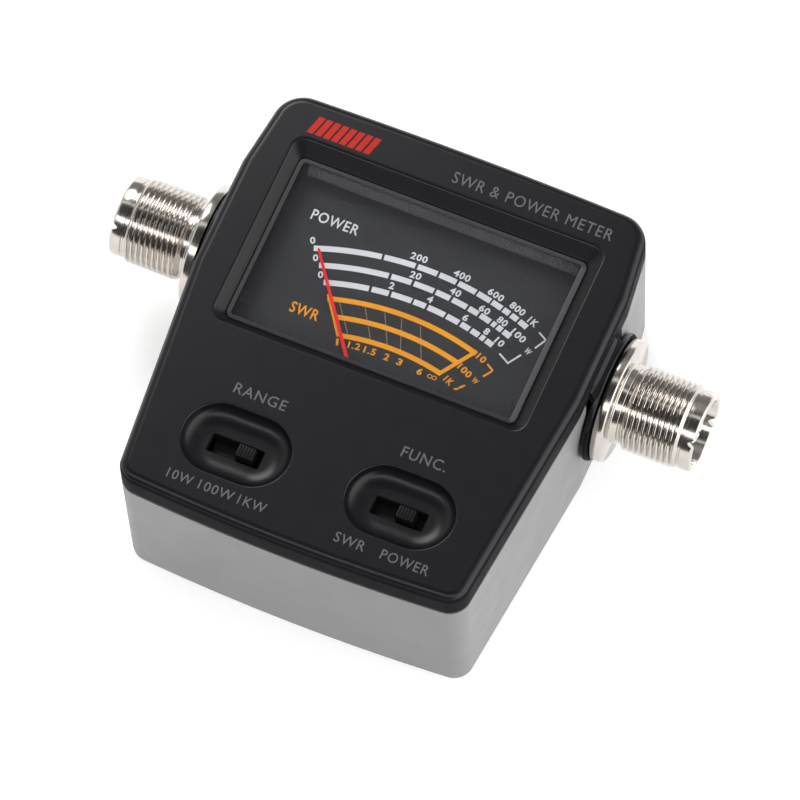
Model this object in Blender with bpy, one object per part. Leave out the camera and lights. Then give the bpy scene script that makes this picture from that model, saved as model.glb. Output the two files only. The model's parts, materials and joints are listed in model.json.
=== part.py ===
"""SWR and power meter, lying on its back with the dial facing up.

Frame: origin under the middle of the bounding box, +X to the right of the dial, +Y towards the top of the
dial, +Z out of the face. Lengths below are in millimetres and are scaled to metres when a mesh is made.
"""

import math

import bmesh
import bpy
from mathutils import Matrix, Vector

MM = 0.001
GAP = 0.3  # clearance between pieces that touch

# Heights
FOOT_DROP = 0.8  # how far the feet stand below the case
FACE_Z = 37.0  # the flat front face
SKIRT = 6.0  # depth of the black front shell's side
SPLIT_Z = FACE_Z - SKIRT
WALL = 2.0

# Plan of the body: right-hand corners, mirrored to the left
BACK_CORNER = (35.0, 40.65)
FACET_BACK = (37.0, 24.8)
FACET_FRONT = (37.0, 3.2)
FRONT_CORNER = (32.8, -40.0)
BACK_RADIUS = 5.5
FRONT_RADIUS = 3.6
BACK_BULGE = 0.65
FRONT_BULGE = 1.3
TOP_ROUND = 1.8
BOTTOM_ROUND = 1.4
CASE_DRAFT = 0.3  # the case is this much smaller at the bottom, on each side

# Connectors (UHF sockets with a 5/8-24 thread)
AXIS_Y = 14.0
AXIS_Z = 19.2
LUG_RADIUS = 12.0
LUG_BACK = 37.3
LUG_FACE = 38.5
FLANGE_RADIUS = 11.5
FLANGE_IN = LUG_FACE + GAP
FLANGE_OUT = FLANGE_IN + 1.9
NECK_RADIUS = 7.35
THREAD_START = 42.6
THREAD_PITCH = 25.4 / 24
THREAD_TURNS = 9
THREAD_RADIUS = 15.875 / 2
THREAD_ROOT = THREAD_RADIUS - 0.62
BARREL_END = 56.2
BARREL_BORE = 6.1
SHANK_RADIUS = 6.8
SHANK_END = 30.8
NUT_THICK = 2.8
NUT_FLATS = 18.0
NOTCH_COUNT = 4

# Meter window and movement
LENS = (-27.7, 27.7, -4.35, 29.45)  # x and y of the raised part of the lens
LENS_TOP = 36.2
LENS_BEVEL = 1.9
RECESS = (-29.9, 29.9, -6.1, 32.7)
PIVOT_Y = -9.5
POINTER_LENGTH = 30.9
ZERO_ANGLE = 37.1  # pointer at rest, degrees left of straight up
FULL_SWING = 77.0
DIAL_Z = 31.4
POINTER_Z = 33.0

# Slide switches
SWITCH_X = 15.6
SWITCH_Y = -27.0
DISH_HALF = 3.5  # half of the straight part of the dish
DISH_RADIUS = 6.9
DISH_DEPTH = 3.0
WINDOW = (9.8, 3.4)
KNOB_TOP = FACE_Z - 1.7
RANGE_STEP = 2.1
FUNC_STEP = 2.8

# Screw posts and feet, the right-hand ones
POSTS = ((29.2, 34.5), (27.6, -34.5))
FEET = ((29.0, 25.0), (25.0, -26.0))
FOOT_RADIUS = 4.0


def material(name, color, roughness, metallic=0.0, alpha=1.0):
    made = bpy.data.materials.new(name)
    made.use_nodes = True
    shader = made.node_tree.nodes["Principled BSDF"]
    shader.inputs["Base Color"].default_value = (*color, 1.0)
    shader.inputs["Roughness"].default_value = roughness
    shader.inputs["Metallic"].default_value = metallic
    shader.inputs["Alpha"].default_value = alpha
    made.diffuse_color = (*color, alpha)
    return made


def clear_scene():
    for obj in list(bpy.data.objects):
        bpy.data.objects.remove(obj, do_unlink=True)


def add_object(name, bm, mat=None, origin=(0.0, 0.0, 0.0)):
    """Makes an object from a mesh in millimetres, with its origin at a point in millimetres."""
    bmesh.ops.recalc_face_normals(bm, faces=bm.faces)
    bmesh.ops.translate(bm, verts=bm.verts, vec=-Vector(origin))
    bmesh.ops.scale(bm, verts=bm.verts, vec=(MM, MM, MM))
    mesh = bpy.data.meshes.new(name)
    bm.to_mesh(mesh)
    bm.free()
    obj = bpy.data.objects.new(name, mesh)
    obj.location = Vector(origin) * MM
    bpy.context.scene.collection.objects.link(obj)
    if mat is not None:
        mesh.materials.append(mat)
        mesh.shade_smooth()
        mesh.set_sharp_from_angle(angle=math.radians(35))
    return obj


def boolean(obj, other, operation="DIFFERENCE"):
    """Cuts or joins with a helper object, which stays in the scene as a hidden guide."""
    other.hide_render = True
    other.display_type = "WIRE"
    made = obj.modifiers.new(operation.title() + " " + other.name, "BOOLEAN")
    made.operation = operation
    made.object = other
    return made


def bevel(obj, width, segments=2, angle=40):
    made = obj.modifiers.new("Bevel", "BEVEL")
    made.width = width * MM
    made.segments = segments
    made.limit_method = "ANGLE"
    made.angle_limit = math.radians(angle)
    return made


def box_mesh(x0, x1, y0, y1, z0, z1):
    bm = bmesh.new()
    bmesh.ops.create_cube(bm, size=1.0)
    bmesh.ops.scale(bm, verts=bm.verts, vec=(x1 - x0, y1 - y0, z1 - z0))
    bmesh.ops.translate(bm, verts=bm.verts, vec=((x0 + x1) / 2, (y0 + y1) / 2, (z0 + z1) / 2))
    return bm


def loft(rings):
    """A closed solid through rings that all have the same number of points."""
    bm = bmesh.new()
    levels = [[bm.verts.new(point) for point in ring] for ring in rings]
    count = len(levels[0])
    for low, high in zip(levels, levels[1:]):
        for i in range(count):
            j = (i + 1) % count
            bm.faces.new((low[i], low[j], high[j], high[i]))
    bm.faces.new(list(reversed(levels[0])))
    bm.faces.new(levels[-1])
    return bm


def prism(outline, z0, z1):
    return loft([[(x, y, z) for x, y in outline] for z in (z0, z1)])


def turned(profile, segments, center, axis="Z"):
    """A solid of revolution. The profile is (distance from the axis, place along it); a profile that starts
    and ends on the axis closes by itself, and any other is closed into a ring."""
    bm = bmesh.new()
    on_axis = profile[0][0] == 0
    rings = []
    for radius, along in profile:
        if radius == 0:
            rings.append([bm.verts.new((0, 0, along))])
            continue
        angles = [2 * math.pi * i / segments for i in range(segments)]
        rings.append([bm.verts.new((radius * math.cos(a), radius * math.sin(a), along)) for a in angles])
    pairs = list(zip(rings, rings[1:]))
    if not on_axis:
        pairs.append((rings[-1], rings[0]))
    for one, two in pairs:
        for i in range(segments):
            j = (i + 1) % segments
            corners = [one[i % len(one)], one[j % len(one)], two[j % len(two)], two[i % len(two)]]
            bm.faces.new(list(dict.fromkeys(corners)))
    turn = {"Z": Matrix.Identity(3), "X": Matrix.Rotation(math.pi / 2, 3, "Y")}[axis]
    bmesh.ops.rotate(bm, verts=bm.verts, matrix=turn)
    bmesh.ops.translate(bm, verts=bm.verts, vec=center)
    return bm


def cylinder(radius, low, high, center, axis="Z", segments=24):
    return turned([(0, low), (radius, low), (radius, high), (0, high)], segments, center, axis)


def rounded_rectangle(x0, x1, y0, y1, radius, steps=4):
    points = []
    corners = ((x1 - radius, y1 - radius, 0), (x0 + radius, y1 - radius, 90),
               (x0 + radius, y0 + radius, 180), (x1 - radius, y0 + radius, 270))
    for cx, cy, start in corners:
        for i in range(steps + 1):
            angle = math.radians(start + 90 * i / steps)
            points.append((cx + radius * math.cos(angle), cy + radius * math.sin(angle)))
    return points


def stadium(cx, cy, half, radius, steps=10):
    points = []
    for side, start in ((1, -90), (-1, 90)):
        for i in range(steps + 1):
            angle = math.radians(start + 180 * i / steps)
            points.append((cx + side * half + radius * math.cos(angle), cy + radius * math.sin(angle)))
    return points


def offset_corners(corners, inset):
    """The corners of a convex outline, listed anticlockwise, after each side moves in by the inset."""
    moved = []
    count = len(corners)
    lines = []
    for i in range(count):
        a, b = Vector(corners[i]), Vector(corners[(i + 1) % count])
        along = (b - a).normalized()
        inward = Vector((-along.y, along.x))
        lines.append((a + inward * inset, along))
    for i in range(count):
        (p, u), (q, v) = lines[i - 1], lines[i]
        cross = u.x * v.y - u.y * v.x
        t = ((q.x - p.x) * v.y - (q.y - p.y) * v.x) / cross
        moved.append(p + u * t)
    return moved


def rounded_corner(before, corner, after, radius, steps):
    """Points of the arc that rounds a corner."""
    into = (before - corner).normalized()
    out = (after - corner).normalized()
    half = into.angle(out) / 2
    middle = (into + out).normalized()
    center = corner + middle * (radius / math.sin(half))
    start = corner + into * (radius / math.tan(half))
    sweep = math.pi - 2 * half
    arm = start - center
    points = []
    for i in range(steps + 1):
        turn = sweep * i / steps
        points.append(center + Vector((arm.x * math.cos(turn) - arm.y * math.sin(turn),
                                       arm.x * math.sin(turn) + arm.y * math.cos(turn))))
    return points


def body_outline(inset):
    """The body's plan, anticlockwise: corners rounded, front and back sides bowed, facets crisp."""
    right = [FRONT_CORNER, FACET_FRONT, FACET_BACK, BACK_CORNER]
    corners = right + [(-x, y) for x, y in reversed(right)]
    radii = {0: FRONT_RADIUS, 3: BACK_RADIUS, 4: BACK_RADIUS, 7: FRONT_RADIUS}
    moved = offset_corners(corners, inset)
    count = len(moved)
    points = []
    for i in range(count):
        if i in radii:
            radius = max(radii[i] - inset, 0.5)
            points += rounded_corner(moved[i - 1], moved[i], moved[(i + 1) % count], radius, 5)
        else:
            points.append(moved[i])
        if i in (3, 7):
            start = points[-1]
            following = moved[(i + 1) % count]
            end_x = -start.x
            for k in range(1, 7):
                points.append(Vector((start.x + (end_x - start.x) * k / 7, following.y)))
    return [bowed(point, inset) for point in points]


def bowed(point, inset):
    """Moves a point of the front or back side outwards along the side's shallow bow."""
    x, y = point
    back, front = BACK_CORNER[1] - inset, FRONT_CORNER[1] + inset
    if y > back - BACK_RADIUS:
        share = min(1.0, (y - back + BACK_RADIUS) / BACK_RADIUS)
        return x, y + share * BACK_BULGE * (1 - (x / BACK_CORNER[0]) ** 2)
    if y < front + FRONT_RADIUS:
        share = min(1.0, (front + FRONT_RADIUS - y) / FRONT_RADIUS)
        return x, y - share * FRONT_BULGE * (1 - (x / FRONT_CORNER[0]) ** 2)
    return x, y


def ring_at(inset, z):
    return [(x, y, z) for x, y in body_outline(inset)]


def mirrored(values):
    return [(side * x, y) for x, y in values for side in (1, -1)]


# ---------------------------------------------------------------- shells


def lug_mesh(side):
    """The round pad behind a connector flange."""
    low, high = sorted((side * LUG_BACK, side * LUG_FACE))
    return cylinder(LUG_RADIUS, low, high, (0, AXIS_Y, AXIS_Z), "X", 36)


def lug_root_mesh(side):
    """Joins the top of the pad to the skirt, clear of the grey case, and slopes back to the skirt's side."""
    section = ((36.0, 31.12), (LUG_BACK + 0.15, 31.12), (LUG_BACK + 0.15, 28.8), (LUG_FACE - 0.1, 28.8),
               (LUG_FACE - 0.1, 30.6), (36.7, 33.6), (36.0, 33.6))
    return loft([[(side * x, AXIS_Y + y, z) for x, z in section] for y in (-5.8, 5.8)])


def dish_cutter(side):
    """A smooth bowl with an oval rim and a flat floor."""
    levels = ((0.3, 0.0), (0.0, 0.0), (-0.35, 0.12), (-1.1, 0.62), (-1.9, 1.5), (-2.55, 2.7), (-2.9, 3.9), (-3.0, 4.9))
    rings = []
    for depth, inset in levels:
        outline = stadium(side * SWITCH_X, SWITCH_Y, DISH_HALF, DISH_RADIUS - inset)
        rings.append([(x, y, FACE_Z + depth) for x, y in outline])
    return loft(list(reversed(rings)))


def window_cutter(side):
    half_x, half_y = WINDOW[0] / 2, WINDOW[1] / 2
    x = side * SWITCH_X
    return box_mesh(x - half_x, x + half_x, SWITCH_Y - half_y, SWITCH_Y + half_y, FACE_Z - 8, FACE_Z)


def recess_cutter():
    """The sloped surround of the lens and the opening below it."""
    x0, x1, y0, y1 = RECESS
    a0, a1, b0, b1 = LENS
    slope_foot = FACE_Z - 1.6
    rings = []
    for z, share in ((FACE_Z + 0.4, -0.12), (FACE_Z, 0.0), (FACE_Z - 0.3, 0.12), (slope_foot, 1.0), (FACE_Z - 4, 1.0)):
        mix = [u + (v - u) * share for u, v in zip((x0, x1, y0, y1), (a0 - GAP, a1 + GAP, b0 - GAP, b1 + GAP))]
        outline = rounded_rectangle(*mix, radius=2.4 - 1.2 * max(share, 0))
        rings.append([(x, y, z) for x, y in outline])
    return loft(list(reversed(rings)))


def make_front_bezel(mat):
    rings = [ring_at(0.25, SPLIT_Z), ring_at(0.0, SPLIT_Z + 0.25), ring_at(0.0, FACE_Z - TOP_ROUND)]
    for i in range(1, 5):
        angle = math.radians(22.5 * i)
        rings.append(ring_at(TOP_ROUND * (1 - math.cos(angle)), FACE_Z - TOP_ROUND * (1 - math.sin(angle))))
    bezel = add_object("front_bezel", loft(rings), mat)
    hollow = [ring_at(WALL, SPLIT_Z - 1), ring_at(WALL, FACE_Z - WALL)]
    boolean(bezel, add_object("cut_bezel_inside", loft(hollow)))
    for side in (1, -1):
        name = "right" if side > 0 else "left"
        x = side * SWITCH_X
        pod = loft([[(px, py, z) for px, py in stadium(x, SWITCH_Y, DISH_HALF + 1.8, DISH_RADIUS)]
                    for z in (FACE_Z - DISH_DEPTH - 1.6, FACE_Z - 0.9)])
        boolean(bezel, add_object(name + "_dish_back", pod), "UNION")
        boolean(bezel, add_object("cut_dish_" + name, dish_cutter(side)))
        boolean(bezel, add_object("cut_window_" + name, window_cutter(side)))
        boolean(bezel, add_object(name + "_lug", lug_mesh(side)), "UNION")
        boolean(bezel, add_object(name + "_lug_root", lug_root_mesh(side)), "UNION")
        hole = cylinder(SHANK_RADIUS + GAP, -4, 4, (side * 37.5, AXIS_Y, AXIS_Z), "X", 32)
        boolean(bezel, add_object("cut_lug_hole_" + name, hole))
        for i, end in enumerate((-1, 1)):
            peg = cylinder(0.9, 30.6, FACE_Z - DISH_DEPTH, (x + end * 10.9, SWITCH_Y, 0), segments=12)
            boolean(bezel, add_object(f"{name}_peg_{i}", peg), "UNION")
    boolean(bezel, add_object("cut_recess", recess_cutter()))
    for i, (x, y) in enumerate(mirrored(POSTS)):
        post = cylinder(3.0, 12.6, FACE_Z - 1, (x, y, 0), segments=16)
        boolean(bezel, add_object(f"post_{i}", post), "UNION")
        pilot = cylinder(1.0, 11.0, 26.0, (x, y, 0), segments=12)
        boolean(bezel, add_object(f"cut_pilot_{i}", pilot))
    return bezel


def make_rear_case(mat):
    floor = FOOT_DROP
    rings = []
    for i in range(4):
        angle = math.radians(30 * i)
        rings.append(ring_at(CASE_DRAFT + BOTTOM_ROUND * (1 - math.sin(angle)),
                             floor + BOTTOM_ROUND * (1 - math.cos(angle))))
    rings += [ring_at(0.0, SPLIT_Z - GAP)]
    case = add_object("rear_case", loft(rings), mat)
    hollow = [ring_at(WALL + CASE_DRAFT, floor + WALL), ring_at(WALL, SPLIT_Z + 1)]
    boolean(case, add_object("cut_case_inside", loft(hollow)))
    for side in (1, -1):
        name = "right" if side > 0 else "left"
        hole = cylinder(8.1, -4, 4, (side * 36, AXIS_Y, AXIS_Z), "X", 32)
        boolean(case, add_object("cut_case_hole_" + name, hole))
        low, high = sorted((side * 32, side * 40))
        slot = box_mesh(low, high, AXIS_Y - 8.1, AXIS_Y + 8.1, AXIS_Z, SPLIT_Z + 3)
        boolean(case, add_object("cut_case_slot_" + name, slot))
    for i, (x, y) in enumerate(mirrored(POSTS)):
        boss = cylinder(3.4, floor + 1, 12.3, (x, y, 0), segments=20)
        boolean(case, add_object(f"boss_{i}", boss), "UNION")
        through = turned([(0, -1), (3.0, -1), (3.0, floor + 6.0), (1.5, floor + 6.0), (1.5, 14), (0, 14)],
                         20, (x, y, 0))
        boolean(case, add_object(f"cut_boss_{i}", through))
    for i, (x, y) in enumerate(mirrored(FEET)):
        pocket = cylinder(FOOT_RADIUS + GAP, -1, floor + 0.8, (x, y, 0), segments=20)
        boolean(case, add_object(f"cut_foot_{i}", pocket))
    for i, (x, y) in enumerate(BOARD_POSTS):
        stand = cylinder(2.2, floor + 1, BOARD_Z - GAP, (x, y, 0), segments=12)
        boolean(case, add_object(f"stand_{i}", stand), "UNION")
        boolean(case, add_object(f"cut_stand_{i}", cylinder(0.9, floor + 1.6, BOARD_Z + 1, (x, y, 0), segments=10)))
    return case


def make_case_fasteners(steel, rubber):
    for i, (x, y) in enumerate(mirrored(POSTS)):
        low = FOOT_DROP + 6.0 - GAP - 2.0
        head = low + 2.0
        profile = [(0, low + 0.9), (1.1, low + 0.5), (1.5, low), (2.5, low + 0.5), (2.5, head), (0.85, head),
                   (0.85, 20.0), (0, 21.0)]
        add_object(f"case_screw_{i + 1}", turned(profile, 16, (x, y, 0)), steel)
    for i, (x, y) in enumerate(mirrored(FEET)):
        profile = [(0, 0.0), (FOOT_RADIUS - 0.4, 0.0), (FOOT_RADIUS, 0.3), (FOOT_RADIUS, FOOT_DROP + 0.5),
                   (0, FOOT_DROP + 0.5)]
        add_object(f"foot_{i + 1}", turned(profile, 20, (x, y, 0)), rubber)


# ---------------------------------------------------------------- connectors


def shell_profile():
    """Outside and inside of the socket's metal body, as (radius, place along the axis)."""
    outside = [(SHANK_RADIUS, SHANK_END), (SHANK_RADIUS, FLANGE_IN), (FLANGE_RADIUS - 0.3, FLANGE_IN),
               (FLANGE_RADIUS, FLANGE_IN + 0.3), (FLANGE_RADIUS, FLANGE_OUT - 0.4), (FLANGE_RADIUS - 0.4, FLANGE_OUT),
               (NECK_RADIUS, FLANGE_OUT)]
    for turn in range(THREAD_TURNS):
        foot = THREAD_START + turn * THREAD_PITCH
        outside += [(THREAD_ROOT, foot), (THREAD_RADIUS, foot + 0.5 * THREAD_PITCH)]
    finish = THREAD_START + THREAD_TURNS * THREAD_PITCH
    outside += [(THREAD_ROOT, finish), (THREAD_ROOT + 0.1, BARREL_END - 0.4), (THREAD_ROOT - 0.3, BARREL_END)]
    inside = [(BARREL_BORE, BARREL_END), (BARREL_BORE, 46.6), (5.0, 46.6), (5.0, SHANK_END)]
    return outside + inside


def make_connector(side, name, nickel, phenolic, silver):
    center = (0, AXIS_Y, AXIS_Z)

    def placed(profile, segments):
        profile = [(radius, side * along) for radius, along in profile]
        return turned(profile, segments, center, "X")

    shell = add_object(name + "_socket_shell", placed(shell_profile(), 28), nickel)
    for i in range(NOTCH_COUNT):
        angle = math.pi / 4 + i * math.pi / 2
        tooth = bmesh.new()
        points = []
        for radius in (5.6, 8.6):
            for along, across in ((BARREL_END + 0.6, -1.2), (BARREL_END + 0.6, 1.2), (BARREL_END - 1.25, 0.0)):
                y = AXIS_Y + radius * math.cos(angle) - across * math.sin(angle)
                z = AXIS_Z + radius * math.sin(angle) + across * math.cos(angle)
                points.append(tooth.verts.new((side * along, y, z)))
        for face in ((0, 1, 2), (5, 4, 3), (0, 3, 4, 1), (1, 4, 5, 2), (2, 5, 3, 0)):
            tooth.faces.new([points[k] for k in face])
        boolean(shell, add_object(f"cut_{name}_tooth_{i}", tooth))
    insulator = [(2.9, SHANK_END - 1.5), (4.7, SHANK_END - 1.5), (4.7, 46.9), (5.8, 46.9), (5.8, 48.6), (2.9, 48.6)]
    add_object(name + "_insulator", placed(insulator, 20), phenolic)
    contact = [(0, SHANK_END - 3.0), (1.7, SHANK_END - 3.0), (1.7, SHANK_END - 1.9), (2.6, SHANK_END - 1.9),
               (2.6, 54.6), (2.3, 55.0), (1.97, 55.0), (1.97, 42.0), (0, 41.0)]
    add_object(name + "_center_contact", placed(contact, 16), silver)
    nut_out = 35.0 - 2 * GAP
    bore = SHANK_RADIUS + GAP
    corner = NUT_FLATS / math.sqrt(3)
    hexagon = [(corner * math.cos(math.radians(30 + 60 * i)), corner * math.sin(math.radians(30 + 60 * i)))
               for i in range(6)]
    rings = [[(side * x, AXIS_Y + y, AXIS_Z + z) for y, z in hexagon] for x in (nut_out - NUT_THICK, nut_out)]
    nut = add_object(name + "_socket_nut", loft(rings), nickel)
    boolean(nut, add_object(f"cut_{name}_nut", cylinder(bore, -6, 6, (side * 33, AXIS_Y, AXIS_Z), "X", 24)))


# ---------------------------------------------------------------- meter


def make_meter_lens(mat):
    """A clear cover: a bevelled block in the window on a thin flange below the front wall."""
    x0, x1, y0, y1 = LENS
    rings = []
    for z, inset in ((34.0, 0.0), (LENS_TOP - 0.75, 0.0), (LENS_TOP - 0.6, 0.12), (LENS_TOP, LENS_BEVEL)):
        outline = rounded_rectangle(x0 + inset, x1 - inset, y0 + inset, y1 - inset, max(1.0 - inset, 0.3), 3)
        rings.append([(x, y, z) for x, y in outline])
    lens = add_object("meter_lens", loft(rings), mat)
    flange = prism(rounded_rectangle(-29.4, 29.4, -18.9, 30.6, 1.0, 3), 33.9, 34.7)
    boolean(lens, add_object("lens_flange", flange), "UNION")
    under = prism(rounded_rectangle(x0 + 1.6, x1 - 1.6, y0 + 1.6, y1 - 1.6, 0.6, 3), 33.0, LENS_TOP - 1.5)
    boolean(lens, add_object("cut_lens_under", under))


def make_meter_housing(mat):
    """A shallow tray behind the dial with a deep well for the movement."""
    top = 33.6
    housing = add_object("meter_housing", box_mesh(-29.2, 29.2, -18.8, 30.5, 28.6, top), mat)
    boolean(housing, add_object("housing_well", box_mesh(-14.2, 14.2, -22.0, 2.6, 14.0, 29.6)), "UNION")
    boolean(housing, add_object("cut_housing_tray", box_mesh(-27.9, 27.9, -17.5, 29.4, 29.9, top + 1)))
    boolean(housing, add_object("cut_housing_well", box_mesh(-12.9, 12.9, -20.7, 1.3, 15.4, 28.3)))
    boolean(housing, add_object("cut_housing_mouth", box_mesh(-12.9, 12.9, -17.5, 1.3, 27.0, 31.0)))
    for side in (1, -1):
        low, high = sorted((side * 28.5, side * 33.4))
        ear = add_object(f"ear_{side + 1}", box_mesh(low, high, -1.5, 3.5, 28.6, 30.1))
        boolean(housing, ear, "UNION")
        hole = cylinder(1.1, 27, 31, (side * 31.3, 1.0, 0), segments=12)
        boolean(housing, add_object(f"cut_ear_{side + 1}", hole))
        stud = box_mesh(min(side * 25.4, side * 27.4), max(side * 25.4, side * 27.4), 0.2, 2.2, 29.0, DIAL_Z - GAP)
        boolean(housing, add_object(f"dial_rest_{side + 1}", stud), "UNION")
        drill = cylinder(0.8, 29.5, 33, (side * 26.4, 1.2, 0), segments=10)
        boolean(housing, add_object(f"cut_rest_{side + 1}", drill))


def make_dial_plate(mat):
    plate = add_object("dial_plate", box_mesh(-27.4, 27.4, -3.2, 29.0, DIAL_Z, DIAL_Z + 0.6), mat)
    notch = box_mesh(-6.0, 6.0, -4.0, -1.0, DIAL_Z - 1, DIAL_Z + 2)
    boolean(plate, add_object("cut_dial_notch", notch))
    for side in (1, -1):
        hole = cylinder(1.0, DIAL_Z - 1, DIAL_Z + 2, (side * 26.4, 1.2, 0), segments=12)
        boolean(plate, add_object(f"cut_dial_{side + 1}", hole))


def make_movement(red, copper, steel, brass, iron):
    """The moving coil meter: everything that turns has its origin on the pivot."""
    pivot = (0.0, PIVOT_Y, POINTER_Z)
    direction = math.radians(90 + ZERO_ANGLE)
    bm = bmesh.new()
    outline = ((-7.5, -0.75), (-2.2, -0.9), (2.4, -0.9), (POINTER_LENGTH, -0.28), (POINTER_LENGTH, 0.28), (2.4, 0.9),
               (-2.2, 0.9), (-7.5, 0.75))
    levels = [[bm.verts.new((x, y, z)) for x, y in outline] for z in (POINTER_Z - 0.2, POINTER_Z + 0.2)]
    bm.faces.new(list(reversed(levels[0])))
    bm.faces.new(levels[1])
    for i in range(len(outline)):
        j = (i + 1) % len(outline)
        bm.faces.new((levels[0][i], levels[0][j], levels[1][j], levels[1][i]))
    bmesh.ops.rotate(bm, verts=bm.verts, matrix=Matrix.Rotation(direction, 3, "Z"))
    bmesh.ops.translate(bm, verts=bm.verts, vec=(0, PIVOT_Y, 0))
    pointer = add_object("pointer", bm, red, pivot)
    collar = cylinder(1.9, POINTER_Z - 0.8, POINTER_Z + 0.5, (0, PIVOT_Y, 0), segments=20)
    boolean(pointer, add_object("pointer_collar", collar), "UNION")
    boolean(pointer, add_object("cut_pointer", cylinder(0.75, 20, 40, (0, PIVOT_Y, 0), segments=16)))

    shaft = [(0, 15.9), (0.45, 16.6), (0.45, 33.1), (0, 33.6)]
    add_object("pivot_shaft", turned(shaft, 12, (0, PIVOT_Y, 0)), steel, pivot)

    former = add_object("moving_coil", box_mesh(-7.2, 7.2, PIVOT_Y - 2.2, PIVOT_Y + 2.2, 18.6, 28.2), copper, pivot)
    former_hole = box_mesh(-6.0, 6.0, PIVOT_Y - 4, PIVOT_Y + 4, 19.8, 27.0)
    boolean(former, add_object("cut_former", former_hole))
    boolean(former, add_object("cut_former_shaft", cylinder(0.75, 18, 34, (0, PIVOT_Y, 0), segments=12)))

    core = cylinder(5.0, 20.4, 26.4, (0, PIVOT_Y, 0), segments=28)
    core_object = add_object("core", core, iron)
    boolean(core_object, add_object("cut_core", cylinder(0.95, 20, 30, (0, PIVOT_Y, 0), segments=12)))

    yoke = [(7.9, 17.9), (10.7, 17.9), (10.7, 28.0), (7.9, 28.0)]
    add_object("magnet_yoke", turned(yoke, 36, (0, PIVOT_Y, 0)), iron)


def make_bridges(brass):
    """Upper and lower bearing bridges, joined to the magnet's ends."""
    for name, z0, z1, foot in (("upper_bridge", 30.4, 31.2, 28.3), ("lower_bridge", 15.7, 16.6, 17.6)):
        bridge = add_object(name, box_mesh(-10.6, 10.6, PIVOT_Y - 1.6, PIVOT_Y + 1.6, z0, z1), brass)
        for side in (1, -1):
            low, high = sorted((side * 8.2, side * 10.6))
            leg = box_mesh(low, high, PIVOT_Y - 1.6, PIVOT_Y + 1.6, min(foot, z0 + 0.2), max(foot, z1 - 0.2))
            boolean(bridge, add_object(f"{name}_leg_{side + 1}", leg), "UNION")
        hole = cylinder(0.85, z0 - 1, z1 + 1, (0, PIVOT_Y, 0), segments=14)
        boolean(bridge, add_object("cut_" + name, hole))


def make_hairspring(bronze):
    """A flat spiral round the shaft, from near the shaft to its outer anchor."""
    turns, steps, inner, outer = 3.0, 48, 1.3, 4.3
    half_width, half_height = 0.12, 0.22
    z = 31.75
    rings = []
    for i in range(steps + 1):
        share = i / steps
        angle = 2 * math.pi * turns * share
        radius = inner + (outer - inner) * share
        ring = []
        for dr, dz in ((-half_width, -half_height), (half_width, -half_height), (half_width, half_height),
                       (-half_width, half_height)):
            ring.append((((radius + dr) * math.cos(angle)), PIVOT_Y + (radius + dr) * math.sin(angle), z + dz))
        rings.append(ring)
    add_object("hairspring", loft(rings), bronze, (0.0, PIVOT_Y, POINTER_Z))


def make_meter_screws(brass, steel):
    for i, side in enumerate((1, -1)):
        x, y = side * 26.4, 1.2
        low, top = DIAL_Z + 0.6 + 0.05, DIAL_Z + 0.6 + 0.75
        profile = [(0, 30.4), (0.6, 30.4), (0.6, low), (1.3, low), (1.3, top - 0.2), (1.0, top), (0, top)]
        add_object(f"dial_screw_{i + 1}", turned(profile, 16, (x, y, 0)), brass)
        x, y = side * 31.3, 1.0
        head = 28.6 - GAP
        profile = [(0, head - 1.3), (1.6, head - 1.3), (1.9, head - 0.9), (1.9, head), (0.8, head), (0.8, 33.2),
                   (0, 34.0)]
        add_object(f"meter_screw_{i + 1}", turned(profile, 14, (x, y, 0)), steel)


# ---------------------------------------------------------------- switches


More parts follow.
